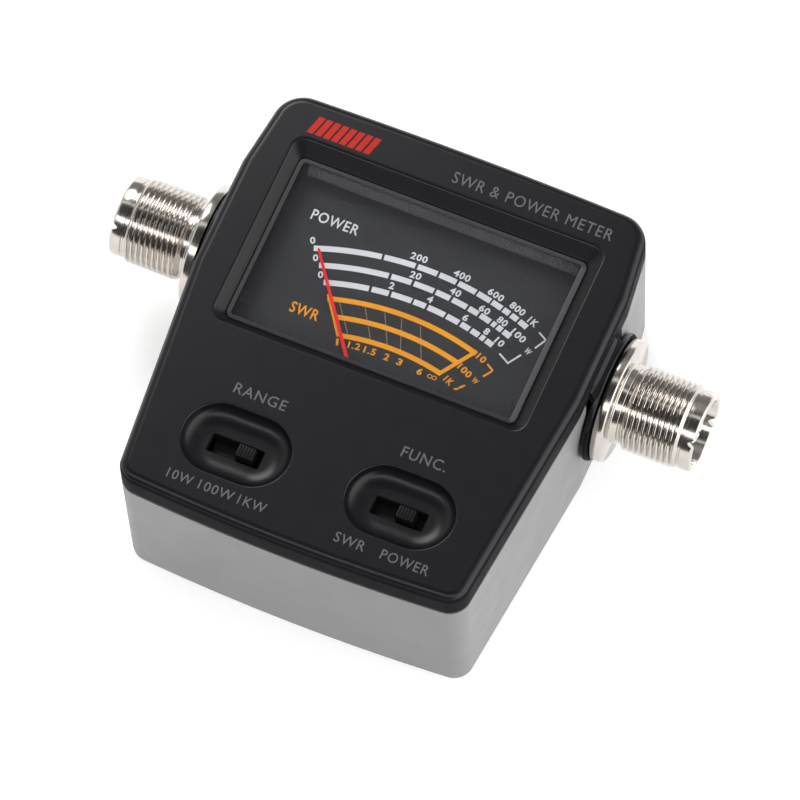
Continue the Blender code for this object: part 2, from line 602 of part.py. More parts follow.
def make_switch(name, side, offset, steel, phenolic, black):
    """A slide switch under one dish: steel frame, terminal base and the knob that slides in it."""
    x = side * SWITCH_X
    top = FACE_Z - DISH_DEPTH - 1.6 - GAP
    frame = add_object(name + "_switch_frame", box_mesh(x - 9.6, x + 9.6, SWITCH_Y - 4.2, SWITCH_Y + 4.2, 27.0, top), steel)
    ears = box_mesh(x - 12.4, x + 12.4, SWITCH_Y - 2.4, SWITCH_Y + 2.4, top - 0.6, top)
    boolean(frame, add_object(name + "_ears", ears), "UNION")
    inside = box_mesh(x - 9.0, x + 9.0, SWITCH_Y - 3.6, SWITCH_Y + 3.6, 26.0, top - 0.6)
    boolean(frame, add_object(f"cut_{name}_frame", inside))
    slot = box_mesh(x - 5.2, x + 5.2, SWITCH_Y - 1.9, SWITCH_Y + 1.9, top - 2, top + 1)
    boolean(frame, add_object(f"cut_{name}_slot", slot))
    for end in (-1, 1):
        hole = cylinder(1.2, top - 2, top + 1, (x + end * 10.9, SWITCH_Y, 0), segments=12)
        boolean(frame, add_object(f"cut_{name}_ear_{end + 1}", hole))

    base = add_object(name + "_switch_base", box_mesh(x - 8.7, x + 8.7, SWITCH_Y - 3.3, SWITCH_Y + 3.3, 26.4, 28.6), phenolic)
    for row in (-1, 1):
        for k in (-1, 0, 1):
            px, py = x + k * 5.0, SWITCH_Y + row * 1.9
            pin = box_mesh(px - 0.7, px + 0.7, py - 0.25, py + 0.25, 22.8, 27.0)
            boolean(base, add_object(f"{name}_pin_{row + 1}_{k + 1}", pin), "UNION")

    kx = x + offset
    floor = top - 0.6 - GAP
    knob = add_object(name + "_knob", box_mesh(kx - 6.6, kx + 6.6, SWITCH_Y - 3.2, SWITCH_Y + 3.2, floor - 1.2, floor),
                      black, (kx, SWITCH_Y, floor))
    stem = box_mesh(kx - 1.75, kx + 1.75, SWITCH_Y - 1.3, SWITCH_Y + 1.3, floor - 0.5, KNOB_TOP)
    boolean(knob, add_object(name + "_stem", stem), "UNION")
    for k in range(4):
        gx = kx - 1.2 + 0.8 * k
        groove = box_mesh(gx - 0.18, gx + 0.18, SWITCH_Y - 3, SWITCH_Y + 3, KNOB_TOP - 0.35, KNOB_TOP + 1)
        boolean(knob, add_object(f"cut_{name}_groove_{k}", groove))


# ---------------------------------------------------------------- electronics

BOARD_Z = 5.6
BOARD_THICK = 1.6
BOARD_POSTS = ((23.4, 28.2), (-23.4, 28.2), (23.4, -28.2), (-23.4, -28.2))


def make_board(green, steel):
    board = add_object("main_board", box_mesh(-26.3, 26.3, -31.0, 31.0, BOARD_Z, BOARD_Z + BOARD_THICK), green)
    for i, (x, y) in enumerate(BOARD_POSTS):
        hole = cylinder(1.2, BOARD_Z - 1, BOARD_Z + 3, (x, y, 0), segments=12)
        boolean(board, add_object(f"cut_board_{i}", hole))
        top = BOARD_Z + BOARD_THICK
        profile = [(0, 2.9), (0.6, 3.1), (0.6, top + GAP), (1.9, top + GAP), (1.9, top + 1.1), (1.5, top + 1.5),
                   (0, top + 1.5)]
        add_object(f"board_screw_{i + 1}", turned(profile, 12, (x, y, 0)), steel)


def make_line_section(tin, copper, ferrite):
    """The coaxial line between the sockets, inside its shield, with the current transformer round it."""
    line = cylinder(1.1, -(SHANK_END - 3.0 - GAP), SHANK_END - 3.0 - GAP, (0, AXIS_Y, AXIS_Z), "X", 16)
    add_object("line_conductor", line, copper)
    core = [(2.6, -2.6), (7.0, -2.6), (7.0, 2.6), (2.6, 2.6)]
    add_object("transformer_core", turned(core, 28, (0, AXIS_Y, AXIS_Z), "X"), ferrite)
    low = BOARD_Z + BOARD_THICK + GAP
    shield = add_object("shield_box", box_mesh(-26.0, 26.0, AXIS_Y - 9, AXIS_Y + 9, low, 27.4), tin)
    boolean(shield, add_object("cut_shield", box_mesh(-25.4, 25.4, AXIS_Y - 8.4, AXIS_Y + 8.4, low + 0.6, 29)))
    boolean(shield, add_object("cut_shield_ends", cylinder(3.0, -30, 30, (0, AXIS_Y, AXIS_Z), "X", 20)))
    lid = add_object("shield_lid", box_mesh(-26.0, 26.0, AXIS_Y - 9, AXIS_Y + 9, 27.4 + GAP / 2, 28.1), tin)
    return lid


def make_components(blue, glass, beige, violet):
    top = BOARD_Z + BOARD_THICK + 0.2
    for i, x in enumerate((-18.0, -8.0, 2.0)):
        trimmer = add_object(f"trimmer_{i + 1}", box_mesh(x - 3.3, x + 3.3, -29.5, -22.9, top, top + 4.6), blue)
        rotor = cylinder(1.6, top + 4.2, top + 5.0, (x, -26.2, 0), segments=16)
        boolean(trimmer, add_object(f"rotor_{i}", rotor), "UNION")
        slot = box_mesh(x - 1.2, x + 1.2, -26.5, -25.9, top + 4.7, top + 6)
        boolean(trimmer, add_object(f"cut_trimmer_{i}", slot))
    for name, x, y, radius, half, mat in (("diode_1", -20.0, 1.5, 0.9, 2.1, glass), ("diode_2", 20.0, 1.5, 0.9, 2.1, glass),
                                          ("load_resistor", 20.0, -8.0, 2.2, 6.5, beige)):
        profile = [(0, -half - 2.4), (0.3, -half - 2.4), (0.3, -half), (radius, -half), (radius, half), (0.3, half),
                   (0.3, half + 2.4), (0, half + 2.4)]
        add_object(name, turned(profile, 14, (x, y, top + radius + 0.1), "X"), mat)
    capacitor = [(0, 0), (2.5, 0), (2.5, 6.6), (2.1, 7.0), (0, 7.0)]
    add_object("capacitor", turned(capacitor, 20, (14.0, -27.0, top)), violet)


def make_lead(name, side, mat):
    """One insulated lead from the movement's housing down to the board."""
    curve = bpy.data.curves.new(name, "CURVE")
    curve.dimensions = "3D"
    curve.bevel_depth = 0.6 * MM
    curve.bevel_resolution = 2
    curve.use_fill_caps = True
    spline = curve.splines.new("POLY")
    start = Vector((side * 15.6, -12.0, 26.0))
    end = Vector((side * 18.5, -17.5, BOARD_Z + BOARD_THICK + 0.6))
    steps = 16
    spline.points.add(steps)
    for i in range(steps + 1):
        share = i / steps
        bow = math.sin(math.pi * share)
        point = start.lerp(end, share) + Vector((side * 3.2 * bow, -0.8 * bow, 0))
        spline.points[i].co = (*(point * MM), 1.0)
    obj = bpy.data.objects.new(name, curve)
    curve.materials.append(mat)
    bpy.context.scene.collection.objects.link(obj)


def main():
    clear_scene()
    black = material("black plastic", (0.020, 0.020, 0.022), 0.42)
    knob_black = material("switch black", (0.015, 0.015, 0.016), 0.4)
    grey = material("grey plastic", (0.56, 0.55, 0.55), 0.45)
    rubber = material("rubber", (0.02, 0.02, 0.02), 0.8)
    steel = material("zinc steel", (0.55, 0.55, 0.54), 0.35, 1.0)
    nickel = material("nickel plate", (0.66, 0.62, 0.56), 0.22, 1.0)
    silver = material("silver plate", (0.8, 0.79, 0.76), 0.25, 1.0)
    brass = material("brass", (0.72, 0.55, 0.25), 0.35, 1.0)
    phenolic = material("phenolic", (0.35, 0.17, 0.07), 0.5)
    clear = material("clear acrylic", (0.8, 0.82, 0.83), 0.08, alpha=0.35)
    dial = material("dial charcoal", (0.05, 0.05, 0.055), 0.6)
    red = material("pointer red", (0.75, 0.04, 0.05), 0.45)
    copper = material("copper", (0.78, 0.38, 0.2), 0.35, 1.0)
    iron = material("magnet iron", (0.12, 0.12, 0.12), 0.5, 0.6)
    green = material("circuit board", (0.02, 0.17, 0.08), 0.4)
    tin = material("tin plate", (0.68, 0.68, 0.66), 0.3, 1.0)
    ferrite = material("ferrite", (0.06, 0.06, 0.06), 0.7)
    blue = material("trimmer blue", (0.03, 0.12, 0.42), 0.4)
    glass = material("diode glass", (0.75, 0.35, 0.15), 0.1)
    beige = material("resistor body", (0.72, 0.6, 0.42), 0.6)
    violet = material("capacitor sleeve", (0.08, 0.05, 0.2), 0.4)

    make_front_bezel(black)
    make_rear_case(grey)
    make_case_fasteners(steel, rubber)
    for side, name in ((-1, "left"), (1, "right")):
        make_connector(side, name, nickel, phenolic, silver)
    make_meter_lens(clear)
    make_meter_housing(black)
    make_dial_plate(dial)
    make_movement(red, copper, steel, brass, iron)
    make_bridges(brass)
    make_hairspring(brass)
    make_meter_screws(brass, steel)
    make_switch("range", -1, RANGE_STEP, steel, phenolic, knob_black)
    make_switch("func", 1, FUNC_STEP / 2, steel, phenolic, knob_black)
    make_board(green, steel)
    make_line_section(tin, copper, ferrite)
    make_components(blue, glass, beige, violet)
    for side, name in ((1, "meter_lead_1"), (-1, "meter_lead_2")):
        make_lead(name, side, knob_black if side > 0 else red)


main()
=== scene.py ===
"""The finished look of the SWR and power meter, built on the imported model. Lengths are in millimetres until a
mesh is made, in the model's own frame: +X right of the dial, +Y towards its top, +Z out of the face."""

import json
import math

import bmesh
import bpy
from mathutils import Matrix, Vector


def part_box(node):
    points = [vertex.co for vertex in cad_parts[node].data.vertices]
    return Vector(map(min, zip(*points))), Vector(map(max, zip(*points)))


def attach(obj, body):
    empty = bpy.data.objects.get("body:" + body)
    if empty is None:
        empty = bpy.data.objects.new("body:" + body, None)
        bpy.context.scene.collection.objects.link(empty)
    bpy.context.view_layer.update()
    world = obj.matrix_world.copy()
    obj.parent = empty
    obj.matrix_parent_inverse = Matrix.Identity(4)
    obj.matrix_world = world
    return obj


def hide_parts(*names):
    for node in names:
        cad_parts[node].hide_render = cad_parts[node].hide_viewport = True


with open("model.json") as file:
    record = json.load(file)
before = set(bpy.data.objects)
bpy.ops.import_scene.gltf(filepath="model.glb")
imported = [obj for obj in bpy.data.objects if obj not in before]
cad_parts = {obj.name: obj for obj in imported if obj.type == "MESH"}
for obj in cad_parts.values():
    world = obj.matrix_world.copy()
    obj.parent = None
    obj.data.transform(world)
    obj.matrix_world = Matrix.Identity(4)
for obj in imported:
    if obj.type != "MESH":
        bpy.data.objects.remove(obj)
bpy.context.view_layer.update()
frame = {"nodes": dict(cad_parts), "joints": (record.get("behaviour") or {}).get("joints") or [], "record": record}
NODES = frame["nodes"]
MM = 0.001


def node_box(name):
    low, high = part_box(name)
    return low / MM, high / MM


# Places taken from the frame
BEZEL_LOW, BEZEL_HIGH = node_box("front_bezel")
CASE_LOW, CASE_HIGH = node_box("rear_case")
LENS_LOW, LENS_HIGH = node_box("meter_lens")
SHELL_LOW, SHELL_HIGH = node_box("right_socket_shell")
DIAL_LOW, DIAL_HIGH = node_box("dial_plate")
_, FOOT_HIGH = node_box("foot_1")
PIVOT = Vector(next(j for j in frame["joints"] if j["name"] == "needle_swing")["pos_m"]) / MM

PRINT = 0.025  # thickness of printed ink
SUNK = 0.01  # how far ink starts below the surface it is printed on
LETTER_SPACING = 1.12
FACE_Z = BEZEL_HIGH.z - PRINT - 0.005
SPLIT_Z = CASE_HIGH.z + 0.3
CASE_BOTTOM = CASE_LOW.z
AXIS_Y = (SHELL_LOW.y + SHELL_HIGH.y) / 2
AXIS_Z = (SHELL_LOW.z + SHELL_HIGH.z) / 2
BARREL_END = SHELL_HIGH.x
FLANGE_RADIUS = (SHELL_HIGH.y - SHELL_LOW.y) / 2
LUG_FACE = BEZEL_HIGH.x
DIAL_TOP = DIAL_HIGH.z
WALL = 2.0

BACK_CORNER = (35.0, 40.65)
FACET_BACK = (37.0, 24.8)
FACET_FRONT = (37.0, 3.2)
FRONT_CORNER = (32.8, -40.0)
BACK_RADIUS = 5.5
FRONT_RADIUS = 3.6
BACK_BULGE = BEZEL_HIGH.y - BACK_CORNER[1] - 0.002
FRONT_BULGE = FRONT_CORNER[1] - BEZEL_LOW.y - 0.002
SWITCH_X = 15.6
SWITCH_Y = -27.0
LENS = (-27.7, 27.7, -4.35, 29.45)
RECESS = (-29.9, 29.9, -6.1, 32.7)
POSTS = ((29.2, 34.5), (27.6, -34.5))
FEET = ((29.0, 25.0), (25.0, -26.0))


# ---------------------------------------------------------------- materials


def nodes_of(name):
    made = bpy.data.materials.new(name)
    made.use_nodes = True
    return made, made.node_tree, made.node_tree.nodes["Principled BSDF"]


def noise(tree, scale, detail=3.0, stretch=None):
    place = tree.nodes.new("ShaderNodeTexCoord")
    made = tree.nodes.new("ShaderNodeTexNoise")
    made.inputs["Scale"].default_value = scale
    made.inputs["Detail"].default_value = detail
    source = place.outputs["Object"]
    if stretch:
        mapping = tree.nodes.new("ShaderNodeMapping")
        mapping.inputs["Scale"].default_value = stretch
        tree.links.new(source, mapping.inputs["Vector"])
        source = mapping.outputs["Vector"]
    tree.links.new(source, made.inputs["Vector"])
    return made.outputs["Fac"]


def spread(tree, value, low, high, start=0.3, end=0.7):
    made = tree.nodes.new("ShaderNodeMapRange")
    made.inputs["From Min"].default_value = start
    made.inputs["From Max"].default_value = end
    made.inputs["To Min"].default_value = low
    made.inputs["To Max"].default_value = high
    tree.links.new(value, made.inputs["Value"])
    return made.outputs["Result"]


def tinted(tree, value, dark, light):
    ramp = tree.nodes.new("ShaderNodeValToRGB")
    ramp.color_ramp.elements[0].position = 0.3
    ramp.color_ramp.elements[0].color = (*dark, 1)
    ramp.color_ramp.elements[1].position = 0.7
    ramp.color_ramp.elements[1].color = (*light, 1)
    tree.links.new(value, ramp.inputs["Fac"])
    return ramp.outputs["Color"]


def bumped(tree, shader, heights):
    """Chains bumps: each is (height output, depth in millimetres, strength)."""
    before = None
    for height, depth, strength in heights:
        bump = tree.nodes.new("ShaderNodeBump")
        bump.inputs["Strength"].default_value = strength
        bump.inputs["Distance"].default_value = depth * MM
        tree.links.new(height, bump.inputs["Height"])
        if before is not None:
            tree.links.new(before, bump.inputs["Normal"])
        before = bump.outputs["Normal"]
    tree.links.new(before, shader.inputs["Normal"])


def surface(name, color, rough, metallic=0.0, vary=0.06, rough_vary=0.04, grain=2500.0, depth=0.006,
            strength=0.35, blotch=90.0, stretch=None, specular=0.5, coat=0.0):
    """Moulded, painted or plated: blotchy colour, uneven gloss and a fine grain."""
    made, tree, shader = nodes_of(name)
    broad = noise(tree, blotch, 4.0, stretch)
    fine = noise(tree, grain, 2.0, stretch)
    dark = [c * (1 - vary) for c in color]
    light = [min(1.0, c * (1 + vary)) for c in color]
    tree.links.new(tinted(tree, broad, dark, light), shader.inputs["Base Color"])
    tree.links.new(spread(tree, noise(tree, blotch * 4, 3.0, stretch), rough - rough_vary, rough + rough_vary),
                   shader.inputs["Roughness"])
    shader.inputs["Metallic"].default_value = metallic
    shader.inputs["Specular IOR Level"].default_value = specular
    shader.inputs["Coat Weight"].default_value = coat
    bumped(tree, shader, [(fine, depth, strength)])
    made.diffuse_color = (*color, 1)
    return made


def clear_plastic(name):
    """Polished acrylic that lets the lamps through to the dial."""
    made, tree, shader = nodes_of(name)
    shader.inputs["Base Color"].default_value = (0.97, 0.98, 0.985, 1)
    shader.inputs["Transmission Weight"].default_value = 1.0
    shader.inputs["IOR"].default_value = 1.49
    tree.links.new(spread(tree, noise(tree, 300.0, 3.0), 0.01, 0.03), shader.inputs["Roughness"])
    out = tree.nodes["Material Output"]
    path = tree.nodes.new("ShaderNodeLightPath")
    through = tree.nodes.new("ShaderNodeBsdfTransparent")
    through.inputs["Color"].default_value = (0.93, 0.94, 0.95, 1)
    mix = tree.nodes.new("ShaderNodeMixShader")
    tree.links.new(path.outputs["Is Shadow Ray"], mix.inputs["Fac"])
    tree.links.new(shader.outputs["BSDF"], mix.inputs[1])
    tree.links.new(through.outputs["BSDF"], mix.inputs[2])
    tree.links.new(mix.outputs["Shader"], out.inputs["Surface"])
    return made


BLACK_COLOR = (0.0085, 0.0085, 0.0107)
BLACK = surface("black satin plastic", BLACK_COLOR, 0.29, specular=0.27, grain=4200.0, depth=0.003, strength=0.2,
                rough_vary=0.01, blotch=60.0)
# Less glossy than the face, so the skirt stays black when seen at a grazing angle
BLACK_SIDE = surface("black matt plastic", BLACK_COLOR, 0.5, specular=0.02, grain=4200.0, depth=0.003, strength=0.2)
# Painted shade: the clear cover's sides and bevels are coloured an opaque dark grey, standing in for their dim look
COVER_EDGE_SHADE = surface("cover edge", (0.07, 0.07, 0.075), 0.34, specular=0.3, grain=3600.0, depth=0.002)
GREY = surface("grey moulded plastic", (0.208, 0.204, 0.206), 0.42, vary=0.02, grain=3000.0, depth=0.006, strength=0.3,
               blotch=45.0)
KNOB = surface("switch knob plastic", (0.007, 0.007, 0.008), 0.42, specular=0.25, grain=5000.0, depth=0.003,
               strength=0.25)
NICKEL = surface("nickel plate", (0.61, 0.57, 0.525), 0.17, metallic=1.0, vary=0.05, rough_vary=0.045, grain=5200.0,
                 depth=0.002, strength=0.16, blotch=700.0, stretch=(2.2, 1.0, 1.0))
SILVER = surface("silver plate", (0.82, 0.8, 0.76), 0.2, metallic=1.0, rough_vary=0.06, grain=4000.0, depth=0.002)
PHENOLIC = surface("phenolic", (0.03, 0.024, 0.02), 0.5, grain=2800.0, vary=0.1)
DIAL = surface("dial enamel", (0.026, 0.026, 0.029), 0.7, specular=0.2, vary=0.05, grain=6000.0, depth=0.004,
               strength=0.25)
WHITE_INK = surface("white ink", (0.64, 0.64, 0.67), 0.6, specular=0.2, vary=0.05, grain=9000.0, depth=0.003)
ORANGE_INK = surface("orange ink", (0.80, 0.31, 0.008), 0.6, specular=0.15, vary=0.06, grain=9000.0, depth=0.003)
RIBBED = surface("ribbed grey plastic", (0.10, 0.10, 0.11), 0.5, grain=5000.0, depth=0.003)
DIM_INK = surface("dotted ink", (0.42, 0.31, 0.16), 0.6, vary=0.2, grain=9000.0, depth=0.003)
GREY_INK = surface("grey face ink", (0.115, 0.118, 0.14), 0.5, vary=0.10, grain=9000.0, depth=0.003, blotch=900.0)
RED_INK = surface("red face ink", (0.52, 0.016, 0.008), 0.5, specular=0.25, vary=0.08, grain=9000.0, depth=0.003)
NEEDLE = surface("needle lacquer", (0.72, 0.004, 0.014), 0.5, specular=0.2, grain=7000.0, depth=0.002)
RUBBER = surface("rubber", (0.022, 0.022, 0.022), 0.75, grain=2200.0, depth=0.012, strength=0.5)
STEEL = surface("zinc plated steel", (0.6, 0.59, 0.56), 0.3, metallic=1.0, vary=0.08, rough_vary=0.07, blotch=500.0)
BRASS = surface("brass", (0.74, 0.55, 0.25), 0.3, metallic=1.0, vary=0.08, blotch=500.0)
COPPER = surface("enamelled copper", (0.7, 0.3, 0.14), 0.3, metallic=1.0, vary=0.15, grain=9000.0,
                 stretch=(0.2, 0.2, 3.0), depth=0.02, strength=0.6)
IRON = surface("sintered magnet", (0.11, 0.11, 0.115), 0.45, metallic=0.7, vary=0.12)
BOARD = surface("circuit board", (0.015, 0.15, 0.065), 0.32, vary=0.15, blotch=260.0)
TIN = surface("tin plate", (0.66, 0.66, 0.64), 0.28, metallic=1.0, vary=0.07, rough_vary=0.08, blotch=160.0)
FERRITE = surface("ferrite", (0.05, 0.05, 0.052), 0.7, vary=0.15)
BLUE = surface("trimmer body", (0.02, 0.1, 0.4), 0.35)
AMBER = surface("diode body", (0.7, 0.3, 0.12), 0.12)
BEIGE = surface("resistor body", (0.68, 0.56, 0.4), 0.6, vary=0.1)
SLEEVE = surface("capacitor sleeve", (0.06, 0.04, 0.18), 0.35)
CLEAR = clear_plastic("clear cover")

BY_SLOT = {"black_face": BLACK, "grey_case": GREY, "rubber": RUBBER, "zinc_steel": STEEL, "nickel": NICKEL,
           "silver": SILVER, "brass": BRASS, "phenolic": PHENOLIC, "clear_cover": CLEAR, "dial": DIAL,
           "pointer_red": NEEDLE, "copper": COPPER, "iron": IRON, "board": BOARD, "tin": TIN, "ferrite": FERRITE,
           "switch_black": KNOB, "trimmer_blue": BLUE, "diode_glass": AMBER, "resistor": BEIGE, "sleeve": SLEEVE}
for part in frame["record"]["subparts"]:
    node = NODES[part["node"]]
    node.data.materials.clear()
    finish = BY_SLOT[part["material_slot"]]
    if part["node"].startswith("dial_screw"):
        finish = DIAL  # its head is painted over with the dial
    if part["node"].endswith("switch_frame"):
        finish = KNOB  # painted black as painted shade, as far as it shows through the slot
    node.data.materials.append(finish)


# ---------------------------------------------------------------- mesh helpers


def add_object(name, bm, mat=None, angle=38):
    """Makes an object from a mesh in millimetres."""
    bmesh.ops.recalc_face_normals(bm, faces=bm.faces)
    bmesh.ops.scale(bm, verts=bm.verts, vec=(MM, MM, MM))
    mesh = bpy.data.meshes.new(name)
    bm.to_mesh(mesh)
    bm.free()
    obj = bpy.data.objects.new(name, mesh)
    bpy.context.scene.collection.objects.link(obj)
    if mat is not None:
        mesh.materials.append(mat)
        mesh.shade_smooth()
        mesh.set_sharp_from_angle(angle=math.radians(angle))
    return obj


def piece(obj, body="meter_body", stands_for=()):
    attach(obj, body)
    if stands_for:
        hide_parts(*stands_for)
    return obj


def carve(obj, helpers, mat, angle=38, weighted=True):
    """Applies Booleans, given as (operation, helper object), and removes the helpers."""
    for operation, helper in helpers:
        made = obj.modifiers.new(operation, "BOOLEAN")
        made.operation = operation
        made.object = helper
    graph = bpy.context.evaluated_depsgraph_get()
    mesh = bpy.data.meshes.new_from_object(obj.evaluated_get(graph), depsgraph=graph)
    obj.modifiers.clear()
    obj.data = mesh
    for _, helper in helpers:
        bpy.data.objects.remove(helper, do_unlink=True)
    bm = bmesh.new()
    bm.from_mesh(mesh)
    bmesh.ops.remove_doubles(bm, verts=bm.verts, dist=0.002 * MM)
    bmesh.ops.dissolve_degenerate(bm, edges=bm.edges, dist=0.002 * MM)
    bm.to_mesh(mesh)
    bm.free()
    mesh.materials.clear()
    mesh.materials.append(mat)
    mesh.shade_smooth()
    mesh.set_sharp_from_angle(angle=math.radians(angle))
    if weighted:
        even = obj.modifiers.new("Even shading", "WEIGHTED_NORMAL")
        even.keep_sharp = True
        even.weight = 80
    return obj


def bevelled(obj, width, segments=3, angle=40):
    made = obj.modifiers.new("Bevel", "BEVEL")
    made.width = width * MM
    made.segments = segments
    made.limit_method = "ANGLE"
    made.angle_limit = math.radians(angle)
    made.harden_normals = True
    return obj


def box_mesh(x0, x1, y0, y1, z0, z1):
    bm = bmesh.new()
    bmesh.ops.create_cube(bm, size=1.0)
    bmesh.ops.scale(bm, verts=bm.verts, vec=(x1 - x0, y1 - y0, z1 - z0))
    bmesh.ops.translate(bm, verts=bm.verts, vec=((x0 + x1) / 2, (y0 + y1) / 2, (z0 + z1) / 2))
    return bm


def loft(rings, bm=None):
    bm = bm or bmesh.new()
    levels = [[bm.verts.new(point) for point in ring] for ring in rings]
    count = len(levels[0])
    for low, high in zip(levels, levels[1:]):
        for i in range(count):
            j = (i + 1) % count
            bm.faces.new((low[i], low[j], high[j], high[i]))
    bm.faces.new(list(reversed(levels[0])))
    bm.faces.new(levels[-1])
    return bm


def turned(profile, segments, center, axis="Z"):
    """A solid of revolution. A radius may be a function of the angle."""
    bm = bmesh.new()
    rings = []
    for radius, along in profile:
        if radius == 0:
            rings.append([bm.verts.new((0, 0, along))])
            continue
        ring = []
        for i in range(segments):
            a = 2 * math.pi * i / segments
            r = radius(a) if callable(radius) else radius
            ring.append(bm.verts.new((r * math.cos(a), r * math.sin(a), along)))
        rings.append(ring)
    pairs = list(zip(rings, rings[1:]))
    if profile[0][0] != 0:
        pairs.append((rings[-1], rings[0]))
    for one, two in pairs:
        for i in range(segments):
            j = (i + 1) % segments
            corners = [one[i % len(one)], one[j % len(one)], two[j % len(two)], two[i % len(two)]]
            bm.faces.new(list(dict.fromkeys(corners)))
    if axis == "X":
        bmesh.ops.rotate(bm, verts=bm.verts, matrix=Matrix.Rotation(math.pi / 2, 3, "Y"))
    bmesh.ops.translate(bm, verts=bm.verts, vec=center)
    return bm


def cylinder(radius, low, high, center, axis="Z", segments=48):
    return turned([(0, low), (radius, low), (radius, high), (0, high)], segments, center, axis)


def rounded_rectangle(x0, x1, y0, y1, radius, steps=8):
    points = []
    corners = ((x1 - radius, y1 - radius, 0), (x0 + radius, y1 - radius, 90),
               (x0 + radius, y0 + radius, 180), (x1 - radius, y0 + radius, 270))
    for cx, cy, start in corners:
        for i in range(steps + 1):
            angle = math.radians(start + 90 * i / steps)
            points.append((cx + radius * math.cos(angle), cy + radius * math.sin(angle)))
    return points


def stadium(cx, cy, half, radius, steps=28):
    points = []
    for side, start in ((1, -90), (-1, 90)):
        for i in range(steps + 1):
            angle = math.radians(start + 180 * i / steps)
            points.append((cx + side * half + radius * math.cos(angle), cy + radius * math.sin(angle)))
    return points


def offset_corners(corners, inset):
    lines = []
    for i in range(len(corners)):
        a, b = Vector(corners[i]), Vector(corners[(i + 1) % len(corners)])
        along = (b - a).normalized()
        lines.append((a + Vector((-along.y, along.x)) * inset, along))
    moved = []
    for i in range(len(corners)):
        (p, u), (q, v) = lines[i - 1], lines[i]
        cross = u.x * v.y - u.y * v.x
        moved.append(p + u * (((q.x - p.x) * v.y - (q.y - p.y) * v.x) / cross))
    return moved


def rounded_corner(before, corner, after, radius, steps):
    into = (before - corner).normalized()
    out = (after - corner).normalized()
    half = into.angle(out) / 2
    center = corner + (into + out).normalized() * (radius / math.sin(half))
    arm = corner + into * (radius / math.tan(half)) - center
    sweep = math.pi - 2 * half
    return [center + Matrix.Rotation(sweep * i / steps, 2) @ arm for i in range(steps + 1)]


def body_outline(inset, facet_radius=0.6):
    right = [FRONT_CORNER, FACET_FRONT, FACET_BACK, BACK_CORNER]
    corners = right + [(-x, y) for x, y in reversed(right)]
    radii = {0: FRONT_RADIUS, 3: BACK_RADIUS, 4: BACK_RADIUS, 7: FRONT_RADIUS}
    moved = offset_corners(corners, inset)
    points = []
    for i in range(8):
        radius, steps = (max(radii[i] - inset, 0.5), 14) if i in radii else (facet_radius * 8, 3)
        points += rounded_corner(moved[i - 1], moved[i], moved[(i + 1) % 8], radius, steps)
        if i in (3, 7):
            start = points[-1]
            for k in range(1, 22):
                points.append(Vector((start.x - 2 * start.x * k / 22, moved[(i + 1) % 8].y)))
    return [bowed(point, inset) for point in points]


def bowed(point, inset):
    x, y = point
    back, front = BACK_CORNER[1] - inset, FRONT_CORNER[1] + inset
    if y > back - BACK_RADIUS:
        share = min(1.0, (y - back + BACK_RADIUS) / BACK_RADIUS)
        return x, y + share * BACK_BULGE * (1 - (x / BACK_CORNER[0]) ** 2)
    if y < front + FRONT_RADIUS:
        share = min(1.0, (front + FRONT_RADIUS - y) / FRONT_RADIUS)
        return x, y - share * FRONT_BULGE * (1 - (x / FRONT_CORNER[0]) ** 2)
    return x, y


def ring_at(inset, z, facet_radius=0.6):
    return [(x, y, z) for x, y in body_outline(inset, facet_radius)]


def mirrored(values):
    return [(side * x, y) for x, y in values for side in (1, -1)]


# ---------------------------------------------------------------- front shell


DISH_HALF = 3.25  # half the length of a bowl's straight part
DISH_RADIUS = 6.85
DISH_SHIFT = 0.3  # each bowl lies this far to the right of its slot
DISH_DEPTH = 3.0
DISH_WALL = 4.1  # width of the wall, seen from above
RIM_FILLET = 0.4


def dish_cutter(side):
    """A bowl: a small fillet at the rim, a steep wall that eases into a flat floor."""
    levels = [(0.6, -0.55)]
    for i in range(7):
        angle = math.radians(15 * i)
        levels.append((-RIM_FILLET * (1 - math.cos(angle)), -0.25 + RIM_FILLET * math.sin(angle)))
    for i in range(1, 15):
        angle = math.radians(90 * i / 14)
        depth = -RIM_FILLET - (DISH_DEPTH - RIM_FILLET) * math.sin(angle)
        levels.append((depth, 0.15 + DISH_WALL * (1 - math.cos(angle))))
    levels.append((-DISH_DEPTH, 6.0))
    rings = []
    for depth, inset in levels:
        outline = stadium(side * SWITCH_X + DISH_SHIFT, SWITCH_Y, DISH_HALF, DISH_RADIUS - inset)
        rings.append([(x, y, FACE_Z + depth) for x, y in outline])
    return loft(list(reversed(rings)))


SLOT_HALF = (4.9, 1.7)


def window_cutter(side):
    """The slot that a knob slides in, with a small bevel at the bowl's floor."""
    x = side * SWITCH_X
    half_x, half_y = SLOT_HALF
    rings = []
    for depth, grow in ((1.0, 0.35), (-2.95, 0.2), (-3.05, 0.12), (-3.2, 0.0), (-8, 0.0)):
        outline = rounded_rectangle(x - half_x - grow, x + half_x + grow, SWITCH_Y - half_y - grow,
                                    SWITCH_Y + half_y + grow, 0.25 + grow, 4)
        rings.append([(px, py, FACE_Z + depth) for px, py in outline])
    return loft(list(reversed(rings)))


def recess_cutter():
    """The surround of the lens: a rounded lip, a slope, and the opening."""
    a0, a1, b0, b1 = LENS
    outer, inner = RECESS, (a0 - 0.18, a1 + 0.18, b0 - 0.18, b1 + 0.18)
    levels = [(0.6, -0.3)]
    for i in range(6):
        angle = math.radians(12 * i)
        levels.append((-0.55 * (1 - math.cos(angle)), -0.14 + 0.30 * math.sin(angle)))
    levels += [(-1.28, 0.86), (-1.42, 0.93), (-1.5, 1.0), (-4.5, 1.0)]
    rings = []
    for depth, share in levels:
        mix = [u + (v - u) * share for u, v in zip(outer, inner)]
        outline = rounded_rectangle(*mix, radius=2.6 - 1.4 * max(share, 0))
        rings.append([(x, y, FACE_Z + depth) for x, y in outline])
    return loft(list(reversed(rings)))


